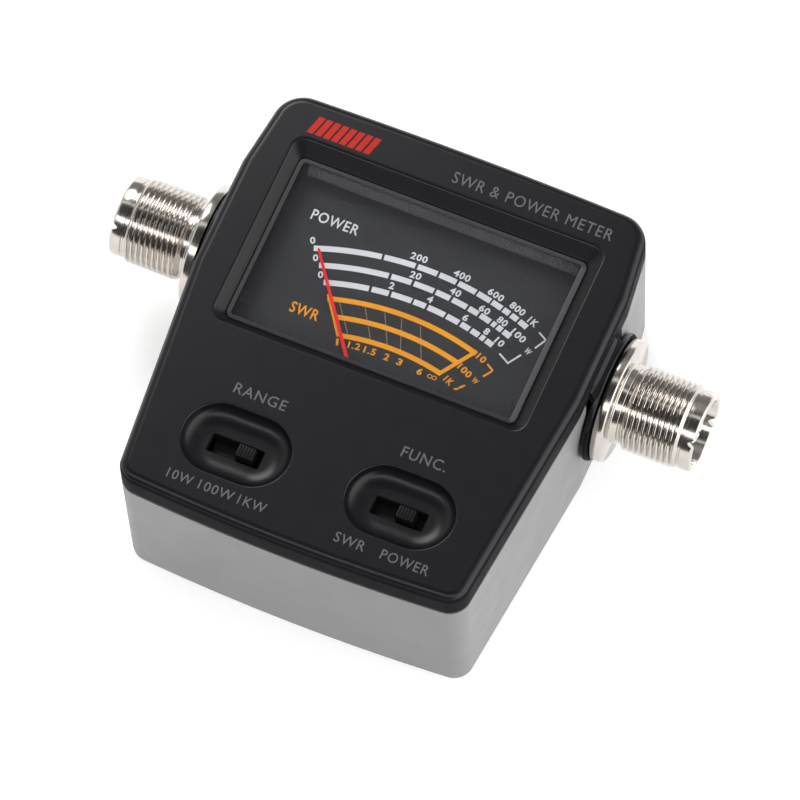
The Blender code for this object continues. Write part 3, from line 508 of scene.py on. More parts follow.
EDGE = 1.9  # radius of the round between face and skirt
SKIRT_SLOPE = 0.5  # outer faces steeper than this belong to the matt skirt
MIDDLE_Y = 5.0  # of the housing


def make_front_shell():
    rings = [ring_at(0.35, SPLIT_Z), ring_at(0.1, SPLIT_Z + 0.08), ring_at(0.0, SPLIT_Z + 0.3)]
    rings.append(ring_at(0.0, FACE_Z - EDGE))
    for i in range(1, 13):
        angle = math.radians(7.5 * i)
        rings.append(ring_at(EDGE * (1 - math.cos(angle)), FACE_Z - EDGE * (1 - math.sin(angle))))
    shell = add_object("front_shell", loft(rings), BLACK)
    steps = [("DIFFERENCE", add_object("c0", loft([ring_at(WALL, SPLIT_Z - 1), ring_at(WALL, FACE_Z - WALL)])))]
    for side in (1, -1):
        x = side * SWITCH_X
        pod = [[(px, py, z) for px, py in stadium(x, SWITCH_Y, DISH_HALF + 1.8, DISH_RADIUS)]
               for z in (FACE_Z - 4.5, FACE_Z - 0.9)]
        steps.append(("UNION", add_object("c1", loft(pod))))
        steps.append(("DIFFERENCE", add_object("c2", dish_cutter(side))))
        steps.append(("DIFFERENCE", add_object("c3", window_cutter(side))))
        steps.append(("UNION", add_object("c4", lug_mesh(side))))
        steps.append(("UNION", add_object("c5", lug_root(side))))
        hole = cylinder(NECK_HOLE, -4, 4, (side * FACET_X, AXIS_Y, AXIS_Z), "X")
        steps.append(("DIFFERENCE", add_object("c6", hole)))
    steps.append(("DIFFERENCE", add_object("c7", recess_cutter())))
    for x, y in mirrored(POSTS):
        steps.append(("UNION", add_object("c8", cylinder(3.0, 12.6, FACE_Z - 1, (x, y, 0), segments=32))))
    carve(shell, steps, BLACK, angle=32)
    shell.data.materials.append(BLACK_SIDE)
    for polygon in shell.data.polygons:
        center, normal = polygon.center, polygon.normal
        outward = normal.x * center.x + normal.y * (center.y - MIDDLE_Y * MM) > 0
        if outward and abs(normal.z) < SKIRT_SLOPE:
            polygon.material_index = 1
    piece(shell, stands_for=("front_bezel",))


FACET_X = 37.5
NECK_HOLE = 7.1
LUG_RADIUS = 12.0
LUG_ROUND = 0.5


def lug_mesh(side):
    """The round pad behind a flange, its rim softened."""
    profile = [(0, 37.3), (LUG_RADIUS - 0.3, 37.3), (LUG_RADIUS - 0.05, 37.45), (LUG_RADIUS, 37.7)]
    for i in range(1, 6):
        angle = math.radians(18 * i)
        profile.append((LUG_RADIUS - LUG_ROUND * (1 - math.cos(angle)),
                        LUG_FACE - LUG_ROUND + LUG_ROUND * math.sin(angle)))
    profile.append((0, LUG_FACE))
    return turned([(r, side * x) for r, x in profile], 96, (0, AXIS_Y, AXIS_Z), "X")


def lug_root(side):
    """The arched bridge from the skirt down to the pad."""
    section = ((36.0, 31.12), (37.45, 31.12), (37.45, 28.8), (LUG_FACE - 0.35, 28.8), (LUG_FACE - 0.35, 30.2),
               (LUG_FACE - 0.5, 30.9), (37.6, 32.2), (36.8, 33.2), (36.0, 33.6))
    rings = []
    for i in range(13):
        along = -6.2 + 12.4 * i / 12
        thin = 0.35 * (abs(along) / 6.2) ** 4
        rings.append([(side * (x - (thin if x > FACET_X else 0)), AXIS_Y + along, z) for x, z in section])
    return loft(rings)


# ---------------------------------------------------------------- rear case


def make_case_shell():
    bottom = CASE_BOTTOM
    rings = []
    for i in range(8):
        angle = math.radians(90 * i / 7)
        rings.append(ring_at(0.3 + 1.4 * (1 - math.sin(angle)), bottom + 1.4 * (1 - math.cos(angle)), 0.12))
    for inset, drop in ((0.0, 0.45), (0.06, 0.34), (0.2, 0.3)):
        rings.append(ring_at(inset, SPLIT_Z - drop, 0.12))
    case = add_object("case_shell", loft(rings), GREY)
    steps = [("DIFFERENCE", add_object("c0", loft([ring_at(2.3, bottom + WALL), ring_at(2.0, SPLIT_Z + 1)])))]
    for side in (1, -1):
        steps.append(("DIFFERENCE", add_object("c1", cylinder(8.1, -4, 4, (side * 36, AXIS_Y, AXIS_Z), "X"))))
        low, high = sorted((side * 32, side * 40))
        slot = box_mesh(low, high, AXIS_Y - 8.1, AXIS_Y + 8.1, AXIS_Z, SPLIT_Z + 3)
        steps.append(("DIFFERENCE", add_object("c2", slot)))
    for x, y in mirrored(POSTS):
        steps.append(("UNION", add_object("c3", cylinder(3.4, bottom + 1, 12.3, (x, y, 0), segments=32))))
        well = [(0, -1), (3.35, -1), (3.35, bottom), (3.0, bottom + 0.35), (3.0, bottom + 6.0), (1.5, bottom + 6.0),
                (1.5, 14), (0, 14)]
        steps.append(("DIFFERENCE", add_object("c4", turned(well, 40, (x, y, 0)))))
    for x, y in mirrored(FEET):
        pocket = [(0, -1), (4.55, -1), (4.55, bottom), (4.3, bottom + 0.25), (4.3, bottom + 0.8), (0, bottom + 0.8)]
        steps.append(("DIFFERENCE", add_object("c5", turned(pocket, 48, (x, y, 0)))))
    carve(case, steps, GREY, angle=32)
    piece(case, stands_for=("rear_case",))


def make_feet_and_screws():
    for i, (x, y) in enumerate(mirrored(FEET)):
        top = FOOT_HIGH.z
        profile = [(0, 0.12), (2.2, 0.1), (2.5, 0.0), (3.5, 0.0), (3.75, 0.05), (3.94, 0.2), (4.0, 0.45),
                   (4.0, top - 0.1), (3.9, top), (0, top)]
        piece(add_object(f"rubber_foot_{i + 1}", turned(profile, 56, (x, y, 0)), RUBBER),
              stands_for=(f"foot_{i + 1}",))
    low, high = node_box("case_screw_1")
    for i, (x, y) in enumerate(mirrored(POSTS)):
        face = low.z
        profile = [(0, face), (1.5, face + 0.06), (2.1, face + 0.3), (2.42, face + 0.7), (2.5, face + 1.1),
                   (2.5, face + 2.0), (0.85, face + 2.0)]
        turns, pitch = 14, 0.85
        for k in range(turns * 2):
            profile.append((0.85 if k % 2 else 1.0, face + 2.6 + k * pitch / 2))
        profile += [(0.6, high.z - 1.0), (0, high.z)]
        head = add_object(f"screw_{i + 1}", turned(profile, 32, (x, y, 0)), STEEL)
        steps = []
        for turn in (0.0, math.pi / 2):
            slot = box_mesh(-1.35, 1.35, -0.27, 0.27, face - 0.5, face + 1.1)
            bmesh.ops.rotate(slot, verts=slot.verts, matrix=Matrix.Rotation(turn + 0.35 + i, 3, "Z"))
            bmesh.ops.translate(slot, verts=slot.verts, vec=(x, y, 0))
            steps.append(("DIFFERENCE", add_object("c0", slot)))
        carve(head, steps, STEEL, weighted=False)
        piece(head, stands_for=(f"case_screw_{i + 1}",))


# ---------------------------------------------------------------- sockets

PITCH = 25.4 / 24
THREAD = (42.9, 53.45)
CREST = 15.875 / 2
ROOT = CREST - 0.6


def thread_radius(along, side):
    """The radius of the helix at a place along the barrel, as a function of the angle round it."""
    start, end = THREAD

    def radius(angle):
        turn = (along / PITCH - side * angle / (2 * math.pi)) % 1.0
        ridge = min(1.0, max(0.0, 1.42 - abs(turn - 0.5) * 3.1))
        ridge = ridge * ridge * (3 - 2 * ridge)
        fade = min(1.0, max(0.0, (along - start) / 0.5)) * min(1.0, max(0.0, (end - along) / 0.6))
        return ROOT + (CREST - ROOT) * ridge * fade

    return radius


def make_sockets():
    for side, name in ((-1, "left"), (1, "right")):
        center = (0, AXIS_Y, AXIS_Z)
        inner = SHELL_LOW.x
        face = LUG_FACE + 0.3
        rim = FLANGE_RADIUS
        profile = [(6.8, inner), (6.8, face), (rim - 0.3, face), (rim - 0.08, face + 0.08), (rim, face + 0.3),
                   (rim, face + 1.45), (rim - 0.08, face + 1.72), (rim - 0.3, face + 1.9), (7.75, face + 1.9),
                   (7.5, face + 1.98), (7.4, face + 2.2), (7.4, 41.9), (7.3, 42.05), (6.95, 42.2), (6.9, 42.4),
                   (6.95, 42.6)]
        count = int((THREAD[1] - THREAD[0]) / 0.105)
        for i in range(count + 1):
            along = THREAD[0] + (THREAD[1] - THREAD[0]) * i / count
            profile.append((thread_radius(along, side), along))
        profile += [(ROOT, 53.6), (ROOT - 0.12, 53.7), (ROOT - 0.12, 53.95), (ROOT + 0.12, 54.1), (ROOT + 0.14, 55.7),
                    (ROOT + 0.02, 56.0), (ROOT - 0.25, BARREL_END), (6.3, BARREL_END), (6.1, BARREL_END - 0.25),
                    (6.1, 46.6), (5.0, 46.6), (5.0, inner)]
        shell = add_object(name + "_socket", turned([(r, side * x) for r, x in profile], 128, center, "X"), NICKEL)
        steps = []
        for i in range(4):
            angle = math.pi / 4 + i * math.pi / 2
            tooth = bmesh.new()
            points = []
            for radius in (5.6, 8.6):
                for along, across in ((BARREL_END + 0.6, -1.25), (BARREL_END + 0.6, 1.25), (BARREL_END - 1.1, 0.16),
                                      (BARREL_END - 1.1, -0.16)):
                    y = AXIS_Y + radius * math.cos(angle) - across * math.sin(angle)
                    z = AXIS_Z + radius * math.sin(angle) + across * math.cos(angle)
                    points.append(tooth.verts.new((side * along, y, z)))
            for quad in ((0, 1, 2, 3), (7, 6, 5, 4), (0, 4, 5, 1), (1, 5, 6, 2), (2, 6, 7, 3), (3, 7, 4, 0)):
                tooth.faces.new([points[k] for k in quad])
            steps.append(("DIFFERENCE", add_object("c0", tooth)))
        carve(shell, steps, NICKEL, angle=50, weighted=False)
        piece(shell, stands_for=(name + "_socket_shell",))

        profile = [(2.9, 29.3), (4.7, 29.3), (4.7, 46.9), (5.8, 46.9), (5.8, 48.2), (5.65, 48.4), (5.2, 48.45),
                   (5.0, 48.2), (3.9, 48.2), (3.7, 48.45), (3.1, 48.6), (2.9, 48.5)]
        solid = turned([(r, side * x) for r, x in profile], 72, center, "X")
        filler = add_object(name + "_dielectric", solid, PHENOLIC)
        piece(filler, stands_for=(name + "_insulator",))

        profile = [(0, 27.8), (1.7, 27.8), (1.7, 28.9), (2.6, 28.9), (2.6, 54.3), (2.55, 54.7), (2.35, 54.95),
                   (2.15, 55.0), (1.97, 54.75), (1.97, 42.0), (0, 41.0)]
        pin = add_object(name + "_contact", turned([(r, side * x) for r, x in profile], 56, center, "X"), SILVER)
        slits = []
        for turn in (0.0, math.pi / 2):
            low, high = sorted((side * 49.5, side * 57.0))
            cut = box_mesh(low, high, -3.2, 3.2, -0.22, 0.22)
            bmesh.ops.rotate(cut, verts=cut.verts, matrix=Matrix.Rotation(turn + 0.3, 3, "X"))
            bmesh.ops.translate(cut, verts=cut.verts, vec=center)
            slits.append(("DIFFERENCE", add_object("c0", cut)))
        carve(pin, slits, SILVER, weighted=False)
        piece(pin, stands_for=(name + "_center_contact",))


# ---------------------------------------------------------------- meter


LENS_BEVEL = 0.95
LENS_LOWER_BEVEL = 0.5
FLAT = 0.985  # lens faces less level than this are its sides and bevels, which are less polished and get an opaque dark grey, painted shade in place of the clear plastic


def make_lens():
    """The clear cover: a flat window, a bevel round it, and the flange that holds it behind the face."""
    x0, x1, y0, y1 = LENS
    top = LENS_HIGH.z
    low = LENS_LOW.z
    rings = []
    levels = [(low + 0.2, 0.0), (top - 0.72, 0.0), (top - 0.66, 0.01), (top - 0.6, 0.05), (top - 0.08, 0.9)]
    levels += [(top - 0.03, 0.96), (top, 1.0)]
    for z, share in levels:
        side = LENS_BEVEL * share
        outline = rounded_rectangle(x0 + side, x1 - side, y0 + LENS_LOWER_BEVEL * share, y1 - side,
                                    1.3 - 0.8 * share, 6)
        rings.append([(x, y, z) for x, y in outline])
    cover = add_object("meter_cover", loft(rings), CLEAR)
    flange = [[(x, y, z) for x, y in rounded_rectangle(-29.4, 29.4, -18.9, 30.6, 1.0)] for z in (low, low + 0.8)]
    under = [[(x, y, z) for x, y in rounded_rectangle(x0 + 0.5, x1 - 0.5, y0 + 0.5, y1 - 0.5, 0.6)]
             for z in (low - 0.5, low + 0.8)]
    carve(cover, [("UNION", add_object("c0", loft(flange))), ("DIFFERENCE", add_object("c1", loft(under)))], CLEAR,
          angle=12)
    cover.data.materials.append(COVER_EDGE_SHADE)
    for polygon in cover.data.polygons:
        if abs(polygon.normal.z) < FLAT:
            polygon.material_index = 1
    piece(cover, stands_for=("meter_lens",))


def make_tray():
    """The dial's surround: sloping walls, the far one finely ribbed, over the deep well of the movement."""
    low, high = node_box("meter_housing")
    top = high.z
    x_in, y_low, y_high = 26.6, -17.5, 28.2
    tray = add_object("meter_tray", box_mesh(-29.2, 29.2, -18.8, 30.5, 28.6, top), BLACK)
    ring = []
    for z, grow in ((29.9, 0.0), (DIAL_LOW.z - 0.3, 0.0), (DIAL_LOW.z - 0.29, 1.4), (DIAL_TOP + 0.05, 1.4),
                    (DIAL_TOP + 0.06, 0.1), (top + 0.01, 0.95), (top + 1, 0.95)):
        outline = rounded_rectangle(-x_in - grow, x_in + grow, y_low, y_high + min(grow, 0.95), 0.4, 3)
        ring.append([(x, y, z) for x, y in outline])
    steps = [("UNION", add_object("c0", box_mesh(-14.2, 14.2, -22.0, 2.6, low.z, 29.6))),
             ("DIFFERENCE", add_object("c1", loft(ring))),
             ("DIFFERENCE", add_object("c2", box_mesh(-12.9, 12.9, -20.7, 1.3, 15.4, 28.3))),
             ("DIFFERENCE", add_object("c3", box_mesh(-12.9, 12.9, -17.5, 1.3, 27.0, 31.0)))]
    carve(tray, steps, BLACK, weighted=False)
    piece(tray, stands_for=("meter_housing",))

    pitch, count = 0.4, 130
    across = [(-pitch * count / 2 + pitch * k / 2, 0.0 if k % 2 else 0.16) for k in range(count * 2 + 1)]
    rings = []
    for z, y in ((DIAL_TOP + 0.03, y_high - 0.12), (top - 0.02, y_high + 0.78)):
        rings.append([(x, y - d, z) for x, d in across] + [(across[-1][0], y + 0.4, z), (across[0][0], y + 0.4, z)])
    ribs = add_object("tray_ribs", loft(rings), RIBBED, angle=20)
    piece(ribs)
    # Painted highlight: a lighter ledge along the dial's far edge stands in for the thin bright line of the cover's
    # inner edge
    ledge = box_mesh(-26.0, 26.0, y_high - 0.42, y_high - 0.22, DIAL_TOP + 0.02, DIAL_TOP + 0.2)
    piece(bevelled(add_object("tray_ledge_highlight", ledge, RIBBED), 0.05, 2))

    _, spring = node_box("hairspring")
    y_edge = spring.y + 0.5  # clear of the spring as it turns
    flat = box_mesh(DIAL_LOW.x, DIAL_HIGH.x, y_edge, DIAL_HIGH.y, DIAL_LOW.z, DIAL_TOP)
    plate = add_object("dial_card", flat, DIAL)
    holes = []
    for name in ("dial_screw_1", "dial_screw_2"):
        low, high = node_box(name)
        center = ((low.x + high.x) / 2, (low.y + high.y) / 2, 0)
        holes.append(("DIFFERENCE", add_object("c0", cylinder(1.15, 30, 34, center, segments=32))))
    carve(plate, holes, DIAL)
    piece(bevelled(plate, 0.04, 2), stands_for=("dial_plate",))


CENTER = (1.6, -40.0)  # of the printed arcs


def strip(bm, radius, thick, x_from, x_to):
    """A piece of a printed arc between two places across the dial."""
    a0 = math.asin((x_from - CENTER[0]) / radius)
    a1 = math.asin((x_to - CENTER[0]) / radius)
    steps = max(2, int(abs(a1 - a0) / math.radians(1.0)))
    rims = []
    for r in (radius - thick / 2, radius + thick / 2):
        rims.append([(CENTER[0] + r * math.sin(a0 + (a1 - a0) * i / steps),
                      CENTER[1] + r * math.cos(a0 + (a1 - a0) * i / steps)) for i in range(steps + 1)])
    outline = rims[0] + list(reversed(rims[1]))
    loft([[(x, y, h) for x, y in outline] for h in (DIAL_TOP - SUNK, DIAL_TOP + PRINT)], bm)


def bar(bm, start, end, thick, lift=0.006):
    """A printed stroke, lying a little over what it crosses."""
    z = DIAL_TOP + lift
    a, b = Vector(start), Vector(end)
    side = (b - a).normalized()
    side = Vector((-side.y, side.x)) * thick / 2
    outline = [a - side, b - side, b + side, a + side]
    loft([[(p.x, p.y, h) for p in outline] for h in (z - SUNK, z + PRINT)], bm)


def letters(bm, text, center, height, width, z, angle=0.0, weight=0.0):
    """Lettering in the built-in font, fitted to a height and width."""
    curve = bpy.data.curves.new("letters", "FONT")
    curve.body = text
    curve.size = 1.0
    curve.extrude = 0.5
    curve.offset = weight
    curve.space_character = LETTER_SPACING
    curve.resolution_u = 3
    obj = bpy.data.objects.new("letters", curve)
    bpy.context.scene.collection.objects.link(obj)
    graph = bpy.context.evaluated_depsgraph_get()
    mesh = bpy.data.meshes.new_from_object(obj.evaluated_get(graph), depsgraph=graph)
    bpy.data.objects.remove(obj, do_unlink=True)
    xs = [v.co.x for v in mesh.vertices]
    ys = [v.co.y for v in mesh.vertices]
    middle = Vector(((min(xs) + max(xs)) / 2, (min(ys) + max(ys)) / 2, 0))
    scale = Vector((width / (max(xs) - min(xs)), height / (max(ys) - min(ys)), 1))
    turn = Matrix.Rotation(math.radians(angle), 3, "Z")
    for vertex in mesh.vertices:
        local = Vector(((vertex.co.x - middle.x) * scale.x, (vertex.co.y - middle.y) * scale.y, 0))
        placed = turn @ local
        level = z + (PRINT if vertex.co.z > 0 else -SUNK)
        vertex.co = (placed.x + center[0], placed.y + center[1], level)
    bm.from_mesh(mesh)
    bpy.data.meshes.remove(mesh)


def make_dial_print():
    white, orange, fine = bmesh.new(), bmesh.new(), bmesh.new()
    scales = (
        (58.75, (-19.1, -7.3, -6.85, -1.1, -0.65, 3.1, 3.55, 6.85, 7.3, 10.8,
                 11.2, 13.85, 14.2, 16.25, 16.6, 17.9, 18.3, 19.7, 20.1, 21.8)),
        (55.45, (-16.9, -4.7, -4.2, -0.45, 0.05, 3.85, 4.3, 7.05, 7.55, 10.45,
                 10.9, 12.85, 13.3, 15.4, 15.8, 16.6, 16.95, 17.95, 18.3, 19.8)),
        (52.15, (-14.8, -6.9, -6.4, -3.3, -2.8, 1.0, 1.4, 3.7, 4.15, 7.5,
                 7.9, 10.35, 10.8, 12.6, 13.0, 14.6, 14.95, 15.8, 16.15, 17.6)),
    )
    for radius, stops in scales:
        for start, end in zip(stops[::2], stops[1::2]):
            strip(white, radius, 1.08, start, end)
    for radius, start, end in ((49.05, -12.9, 15.6), (45.65, -10.5, 13.5), (42.2, -8.0, 11.3)):
        strip(orange, radius, 0.95, start, end)
    bar(orange, (-13.15, 7.7), (-8.2, 0.8), 0.5)
    bar(orange, (15.5, 7.55), (10.95, 0.75), 0.72, lift=0.009)

    top = DIAL_TOP
    letters(white, "POWER", (-17.6, 21.15), 2.1, 9.0, top, weight=0.012)
    letters(orange, "SWR", (-15.6, 3.1), 2.15, 5.4, top, weight=0.012)
    power_marks = (
        ("0", -19.9, 16.35, 0.95, 24), ("200", -1.1, 20.45, 3.1, 2), ("400", 7.3, 20.1, 3.2, -5),
        ("600", 14.3, 18.95, 3.1, -12), ("800", 18.9, 17.9, 3.1, -17), ("1K", 22.4, 16.55, 1.9, -20),
        ("0", -18.05, 13.4, 0.95, 24), ("20", -0.3, 17.0, 2.05, 2), ("40", 7.5, 16.7, 2.05, -6),
        ("60", 13.6, 15.5, 2.05, -12), ("80", 17.4, 14.6, 2.0, -17), ("100", 21.1, 13.15, 3.0, -22),
        ("0", -15.9, 10.7, 0.95, 20), ("2", -3.4, 13.55, 0.95, 4), ("4", 3.9, 13.7, 1.05, -2),
        ("6", 11.1, 12.8, 0.95, -10), ("8", 15.6, 11.75, 0.95, -15), ("10", 18.5, 10.7, 1.75, -20),
        ("W", 23.8, 10.95, 1.15, -28),
    )
    for text, x, y, width, angle in power_marks:
        letters(white, text, (x, y), 1.35 if text != "W" else 1.15, width, top, angle, 0.028)
    swr_marks = (
        ("1", -7.9, -0.25, 0.45, 18), ("1.2", -4.85, 0.2, 2.2, 8), ("1.5", -1.9, 0.35, 2.2, 4),
        ("2", 1.3, 0.4, 0.95, 0), ("3", 3.8, 0.38, 0.95, -3), ("6", 7.8, 0.05, 0.95, -8), ("10", 16.8, 6.6, 1.75, -20),
        ("100", 15.05, 3.25, 2.9, -24), ("W", 17.5, 2.15, 1.15, -26), ("1K", 13.2, 0.35, 1.75, -24),
    )
    for text, x, y, width, angle in swr_marks:
        letters(orange, text, (x, y), 1.3 if text != "W" else 1.1, width, top, angle, 0.024)
    infinity = [(0.42 * math.cos(2 * math.pi * i / 14), 0.34 * math.sin(2 * math.pi * i / 14)) for i in range(15)]
    for side in (-1, 1):
        cx, cy = 10.2 + side * 0.42, -0.12
        for i, ((ax, ay), (bx, by)) in enumerate(zip(infinity, infinity[1:])):
            bar(orange, (cx + ax, cy + ay), (cx + bx, cy + by), 0.17, lift=0.003 * (i % 2) + 0.0015 * (side + 1))
    for start, end in (((24.2, 15.1), (25.85, 14.2)), ((25.8, 14.05), (24.7, 12.0)), ((22.95, 9.85), (21.55, 7.65)),
                       ((21.6, 7.42), (19.35, 8.65))):
        bar(white, start, end, 0.32)
    for start, end in (((18.2, 5.95), (19.6, 5.15)), ((19.5, 5.0), (18.45, 3.45)), ((14.65, -0.75), (15.4, -0.45)),
                       ((15.4, -0.25), (16.2, 0.65))):
        bar(orange, start, end, 0.34)
    dotted = (((-11.1, 7.6), (-6.9, 2.0)), ((-6.1, 7.9), (-2.75, 2.5)), ((-2.45, 8.2), (0.45, 2.6)),
              ((0.75, 8.3), (3.0, 2.6)), ((4.4, 8.2), (7.05, 2.4)))
    dots = 15
    for start, end in dotted:
        a, b = Vector(start), Vector(end)
        for i in range(dots):
            bar(fine, a.lerp(b, (i + 0.2) / dots), a.lerp(b, (i + 0.72) / dots), 0.15)
    piece(add_object("dial_print_white", white, WHITE_INK))
    piece(add_object("dial_print_orange", orange, ORANGE_INK))
    piece(add_object("dial_print_fine", fine, DIM_INK))


def make_face_print():
    ink = bmesh.new()
    z = FACE_Z
    letters(ink, "SWR & POWER METER", (14.4, 35.5), 2.25, 30.6, z)
    labels = (("RANGE", -15.0, -17.0, 2.05, 9.9), ("10W", -21.8, -36.4, 1.85, 4.8), ("100W", -14.9, -36.4, 1.85, 6.6),
              ("1KW", -8.1, -36.4, 1.85, 5.2), ("FUNC.", 16.2, -17.0, 2.1, 8.4), ("SWR", 10.5, -36.4, 1.95, 5.7),
              ("POWER", 20.9, -36.4, 1.95, 9.0))
    for text, x, y, height, width in labels:
        letters(ink, text, (x, y), height, width, z, weight=0.004)
    piece(add_object("face_lettering", ink, GREY_INK))
    mark = bmesh.new()
    for i in range(8):
        x = -28.5 + 1.55 * i
        outline = [(x, 33.7), (x + 1.15, 33.7), (x + 2.15, 37.3), (x + 1.0, 37.3)]
        loft([[(px, py, h) for px, py in outline] for h in (z - SUNK, z + PRINT)], mark)
    piece(add_object("face_stripes", mark, RED_INK))


NEEDLE_DIRECTION = 126.6  # degrees from +X at rest, through the scale's zero


def make_needle():
    low, high = node_box("pointer")
    z = (low.z + high.z) / 2 + 0.15
    bm = bmesh.new()
    outline = [(-7.5, 0.7), (-2.4, 0.8), (2.4, 0.45), (9.0, 0.33), (22.0, 0.28), (30.0, 0.24), (30.4, 0.1)]
    outline = [(x, -w) for x, w in outline] + [(x, w) for x, w in reversed(outline)]
    loft([[(x, y, h) for x, y in outline] for h in (z - 0.16, z + 0.16)], bm)
    bmesh.ops.rotate(bm, verts=bm.verts, matrix=Matrix.Rotation(math.radians(NEEDLE_DIRECTION), 3, "Z"))
    bmesh.ops.translate(bm, verts=bm.verts, vec=(PIVOT.x, PIVOT.y, 0))
    blade = add_object("needle_blade", bm, NEEDLE)
    profile = [(0.75, low.z), (1.7, low.z), (1.9, low.z + 0.2), (1.9, high.z - 0.2), (1.75, high.z), (0.75, high.z)]
    collar = turned(profile, 40, (PIVOT.x, PIVOT.y, 0))
    hole = cylinder(0.75, low.z - 1, high.z + 1, (PIVOT.x, PIVOT.y, 0), segments=40)
    carve(blade, [("UNION", add_object("c0", collar)), ("DIFFERENCE", add_object("c1", hole))], NEEDLE, weighted=False)
    bevelled(blade, 0.05, 2)
    piece(blade, body="needle", stands_for=("pointer",))


def make_knobs():
    for node, body in (("range_knob", "range_slider"), ("func_knob", "func_slider")):
        low, high = node_box(node)
        x, top = (low.x + high.x) / 2, high.z
        knob = add_object(node + "_cap", box_mesh(low.x, high.x, low.y, high.y, low.z, low.z + 1.2), KNOB)
        rings = []
        for z, half_x, half_y in ((low.z + 0.7, 1.78, 1.32), (top - 0.55, 1.66, 1.22), (top - 0.16, 1.62, 1.18),
                                  (top - 0.04, 1.54, 1.1), (top, 1.4, 0.98)):
            outline = rounded_rectangle(x - half_x, x + half_x, SWITCH_Y - half_y, SWITCH_Y + half_y, 0.22, 4)
            rings.append([(px, py, z) for px, py in outline])
        steps = [("UNION", add_object("c0", loft(rings)))]
        for k in range(5):
            gx = x - 1.12 + 0.56 * k
            section = ((-0.24, top + 0.3), (-0.15, top), (-0.06, top - 0.2), (0.06, top - 0.2), (0.15, top),
                       (0.24, top + 0.3))
            groove = [[(gx + dx, y, z) for dx, z in section] for y in (SWITCH_Y - 3, SWITCH_Y + 3)]
            steps.append(("DIFFERENCE", add_object("c1", loft(groove))))
        carve(knob, steps, KNOB, weighted=False)
        bevelled(knob, 0.05, 2)
        piece(knob, body=body, stands_for=(node,))


# ---------------------------------------------------------------- stage


def make_stage():
    bm = bmesh.new()
    bmesh.ops.create_circle(bm, cap_ends=True, radius=4000.0, segments=96)
    floor_mat, tree, shader = nodes_of("pale floor")
    tint = tinted(tree, noise(tree, 3.0, 2.0), (0.93, 0.93, 0.93), (0.95, 0.95, 0.95))
    tree.links.new(tint, shader.inputs["Base Color"])
    shader.inputs["Emission Color"].default_value = (1, 1, 1, 1)
    shader.inputs["Emission Strength"].default_value = 0.42
    shader.inputs["Roughness"].default_value = 0.9
    shader.inputs["Specular IOR Level"].default_value = 0.1
    add_object("floor", bm, floor_mat)


# The tent's brightness by direction: degrees from straight up, positive towards the front
TENT = ((-180, 0.9), (-100, 0.6), (-90, 0.3), (-60, 0.22), (-45, 0.36), (-34, 0.36), (-27, 0.24), (-20, 0.10),
        (-14, 0.16), (-11.5, 1.2), (-8.5, 1.2), (-5, 0.05), (34, 0.05), (37.5, 4.6), (44.5, 4.6), (48.5, 0.06),
        (92, 0.05), (108, 0.75), (180, 0.9))
BRIGHTEST = 4.6
LEFT_SIDE = 0.18  # share of the brightest, beyond the tent's ends
RIGHT_EXTRA = 0.46


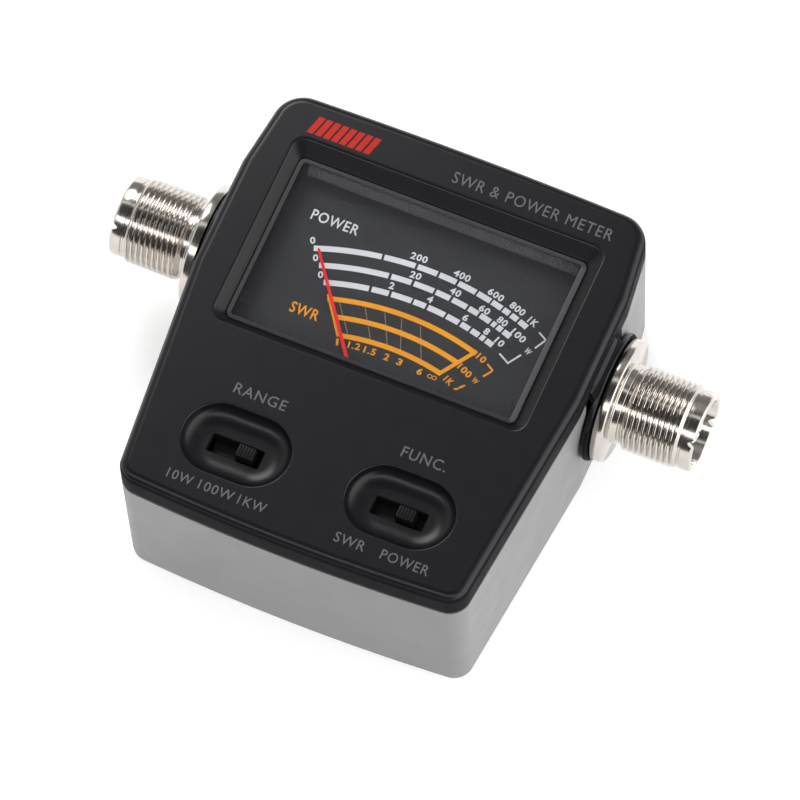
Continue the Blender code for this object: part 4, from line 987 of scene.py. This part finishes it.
def make_world():
    """A tent, dark towards the front, with a bright strip there and a faint one near the top. The camera sees white."""
    world = bpy.data.worlds.new("tent")
    bpy.context.scene.world = world
    world.use_nodes = True
    tree = world.node_tree
    tree.nodes.clear()
    out = tree.nodes.new("ShaderNodeOutputWorld")
    place = tree.nodes.new("ShaderNodeTexCoord")
    parts = tree.nodes.new("ShaderNodeSeparateXYZ")
    tree.links.new(place.outputs["Generated"], parts.inputs["Vector"])

    def maths(operation, first, second=None):
        made = tree.nodes.new("ShaderNodeMath")
        made.operation = operation
        for socket, value in zip(made.inputs, (first, second)):
            if value is None:
                continue
            if isinstance(value, (int, float)):
                socket.default_value = value
            else:
                tree.links.new(value, socket)
        return made.outputs["Value"]

    toward = maths("MULTIPLY", parts.outputs["Y"], -1.0)
    angle = maths("ARCTAN2", toward, parts.outputs["Z"])
    share = maths("ADD", maths("DIVIDE", angle, 2 * math.pi), 0.5)
    ramp = tree.nodes.new("ShaderNodeValToRGB")
    ramp.color_ramp.interpolation = "EASE"
    while len(ramp.color_ramp.elements) < len(TENT):
        ramp.color_ramp.elements.new(0.5)
    for element, (degrees, value) in zip(ramp.color_ramp.elements, TENT):
        element.position = degrees / 360 + 0.5
        element.color = (value / BRIGHTEST, value / BRIGHTEST, value / BRIGHTEST, 1)
    tree.links.new(share, ramp.inputs["Fac"])
    sides = tree.nodes.new("ShaderNodeMapRange")
    sides.inputs["From Min"].default_value = 0.55
    sides.inputs["From Max"].default_value = 0.85
    tree.links.new(maths("ABSOLUTE", parts.outputs["X"]), sides.inputs["Value"])
    right = maths("MULTIPLY", maths("GREATER_THAN", parts.outputs["X"], 0.0), RIGHT_EXTRA)
    ends = tree.nodes.new("ShaderNodeCombineColor")
    for channel in ends.inputs:
        tree.links.new(maths("ADD", right, LEFT_SIDE), channel)
    mix = tree.nodes.new("ShaderNodeMix")
    mix.data_type = "RGBA"
    tree.links.new(sides.outputs["Result"], mix.inputs["Factor"])
    tree.links.new(ramp.outputs["Color"], mix.inputs["A"])
    tree.links.new(ends.outputs["Color"], mix.inputs["B"])
    lit = tree.nodes.new("ShaderNodeBackground")
    lit.inputs["Strength"].default_value = BRIGHTEST
    tree.links.new(mix.outputs["Result"], lit.inputs["Color"])
    plain = tree.nodes.new("ShaderNodeBackground")
    plain.inputs["Color"].default_value = (1, 1, 1, 1)
    plain.inputs["Strength"].default_value = 1.0
    path = tree.nodes.new("ShaderNodeLightPath")
    both = tree.nodes.new("ShaderNodeMixShader")
    tree.links.new(path.outputs["Is Camera Ray"], both.inputs["Fac"])
    tree.links.new(lit.outputs["Background"], both.inputs[1])
    tree.links.new(plain.outputs["Background"], both.inputs[2])
    tree.links.new(both.outputs["Shader"], out.inputs["Surface"])


def lamp(name, place, aim, size, power):
    light = bpy.data.lights.new(name, "AREA")
    light.shape = "SQUARE"
    light.size = size
    light.energy = power
    obj = bpy.data.objects.new(name, light)
    obj.location = place
    obj.rotation_mode = "QUATERNION"
    obj.rotation_quaternion = (Vector(aim) - Vector(place)).to_track_quat("-Z", "Y")
    bpy.context.scene.collection.objects.link(obj)


CAMERA_RIGHT = (0.9170, 0.3976, -0.0314)
CAMERA_UP = (-0.3481, 0.8363, 0.4238)
CAMERA_BACK = (0.194717, -0.377581, 0.905272)
CAMERA_TARGET = (0.00776, -0.00828, 0.0370)
CAMERA_DISTANCE = 1.5
FOCAL_LENGTH = 386.1


def make_camera():
    data = bpy.data.cameras.new("camera")
    data.sensor_width = 36.0
    data.lens = FOCAL_LENGTH
    data.clip_start, data.clip_end = 0.05, 20.0
    camera = bpy.data.objects.new("camera", data)
    turn = Matrix((CAMERA_RIGHT, CAMERA_UP, CAMERA_BACK)).transposed()
    place = Vector(CAMERA_TARGET) + Vector(CAMERA_BACK) * CAMERA_DISTANCE
    camera.matrix_world = Matrix.Translation(place) @ turn.to_4x4()
    bpy.context.scene.collection.objects.link(camera)
    bpy.context.scene.camera = camera


make_front_shell()
make_case_shell()
make_feet_and_screws()
make_sockets()
make_lens()
make_tray()
make_dial_print()
make_face_print()
make_needle()
make_knobs()
make_stage()
make_world()
lamp("key", (-0.30, 0.36, 0.47), (0, 0, 0.03), 0.26, 1.6)
make_camera()
bpy.context.scene.view_settings.view_transform = "Standard"
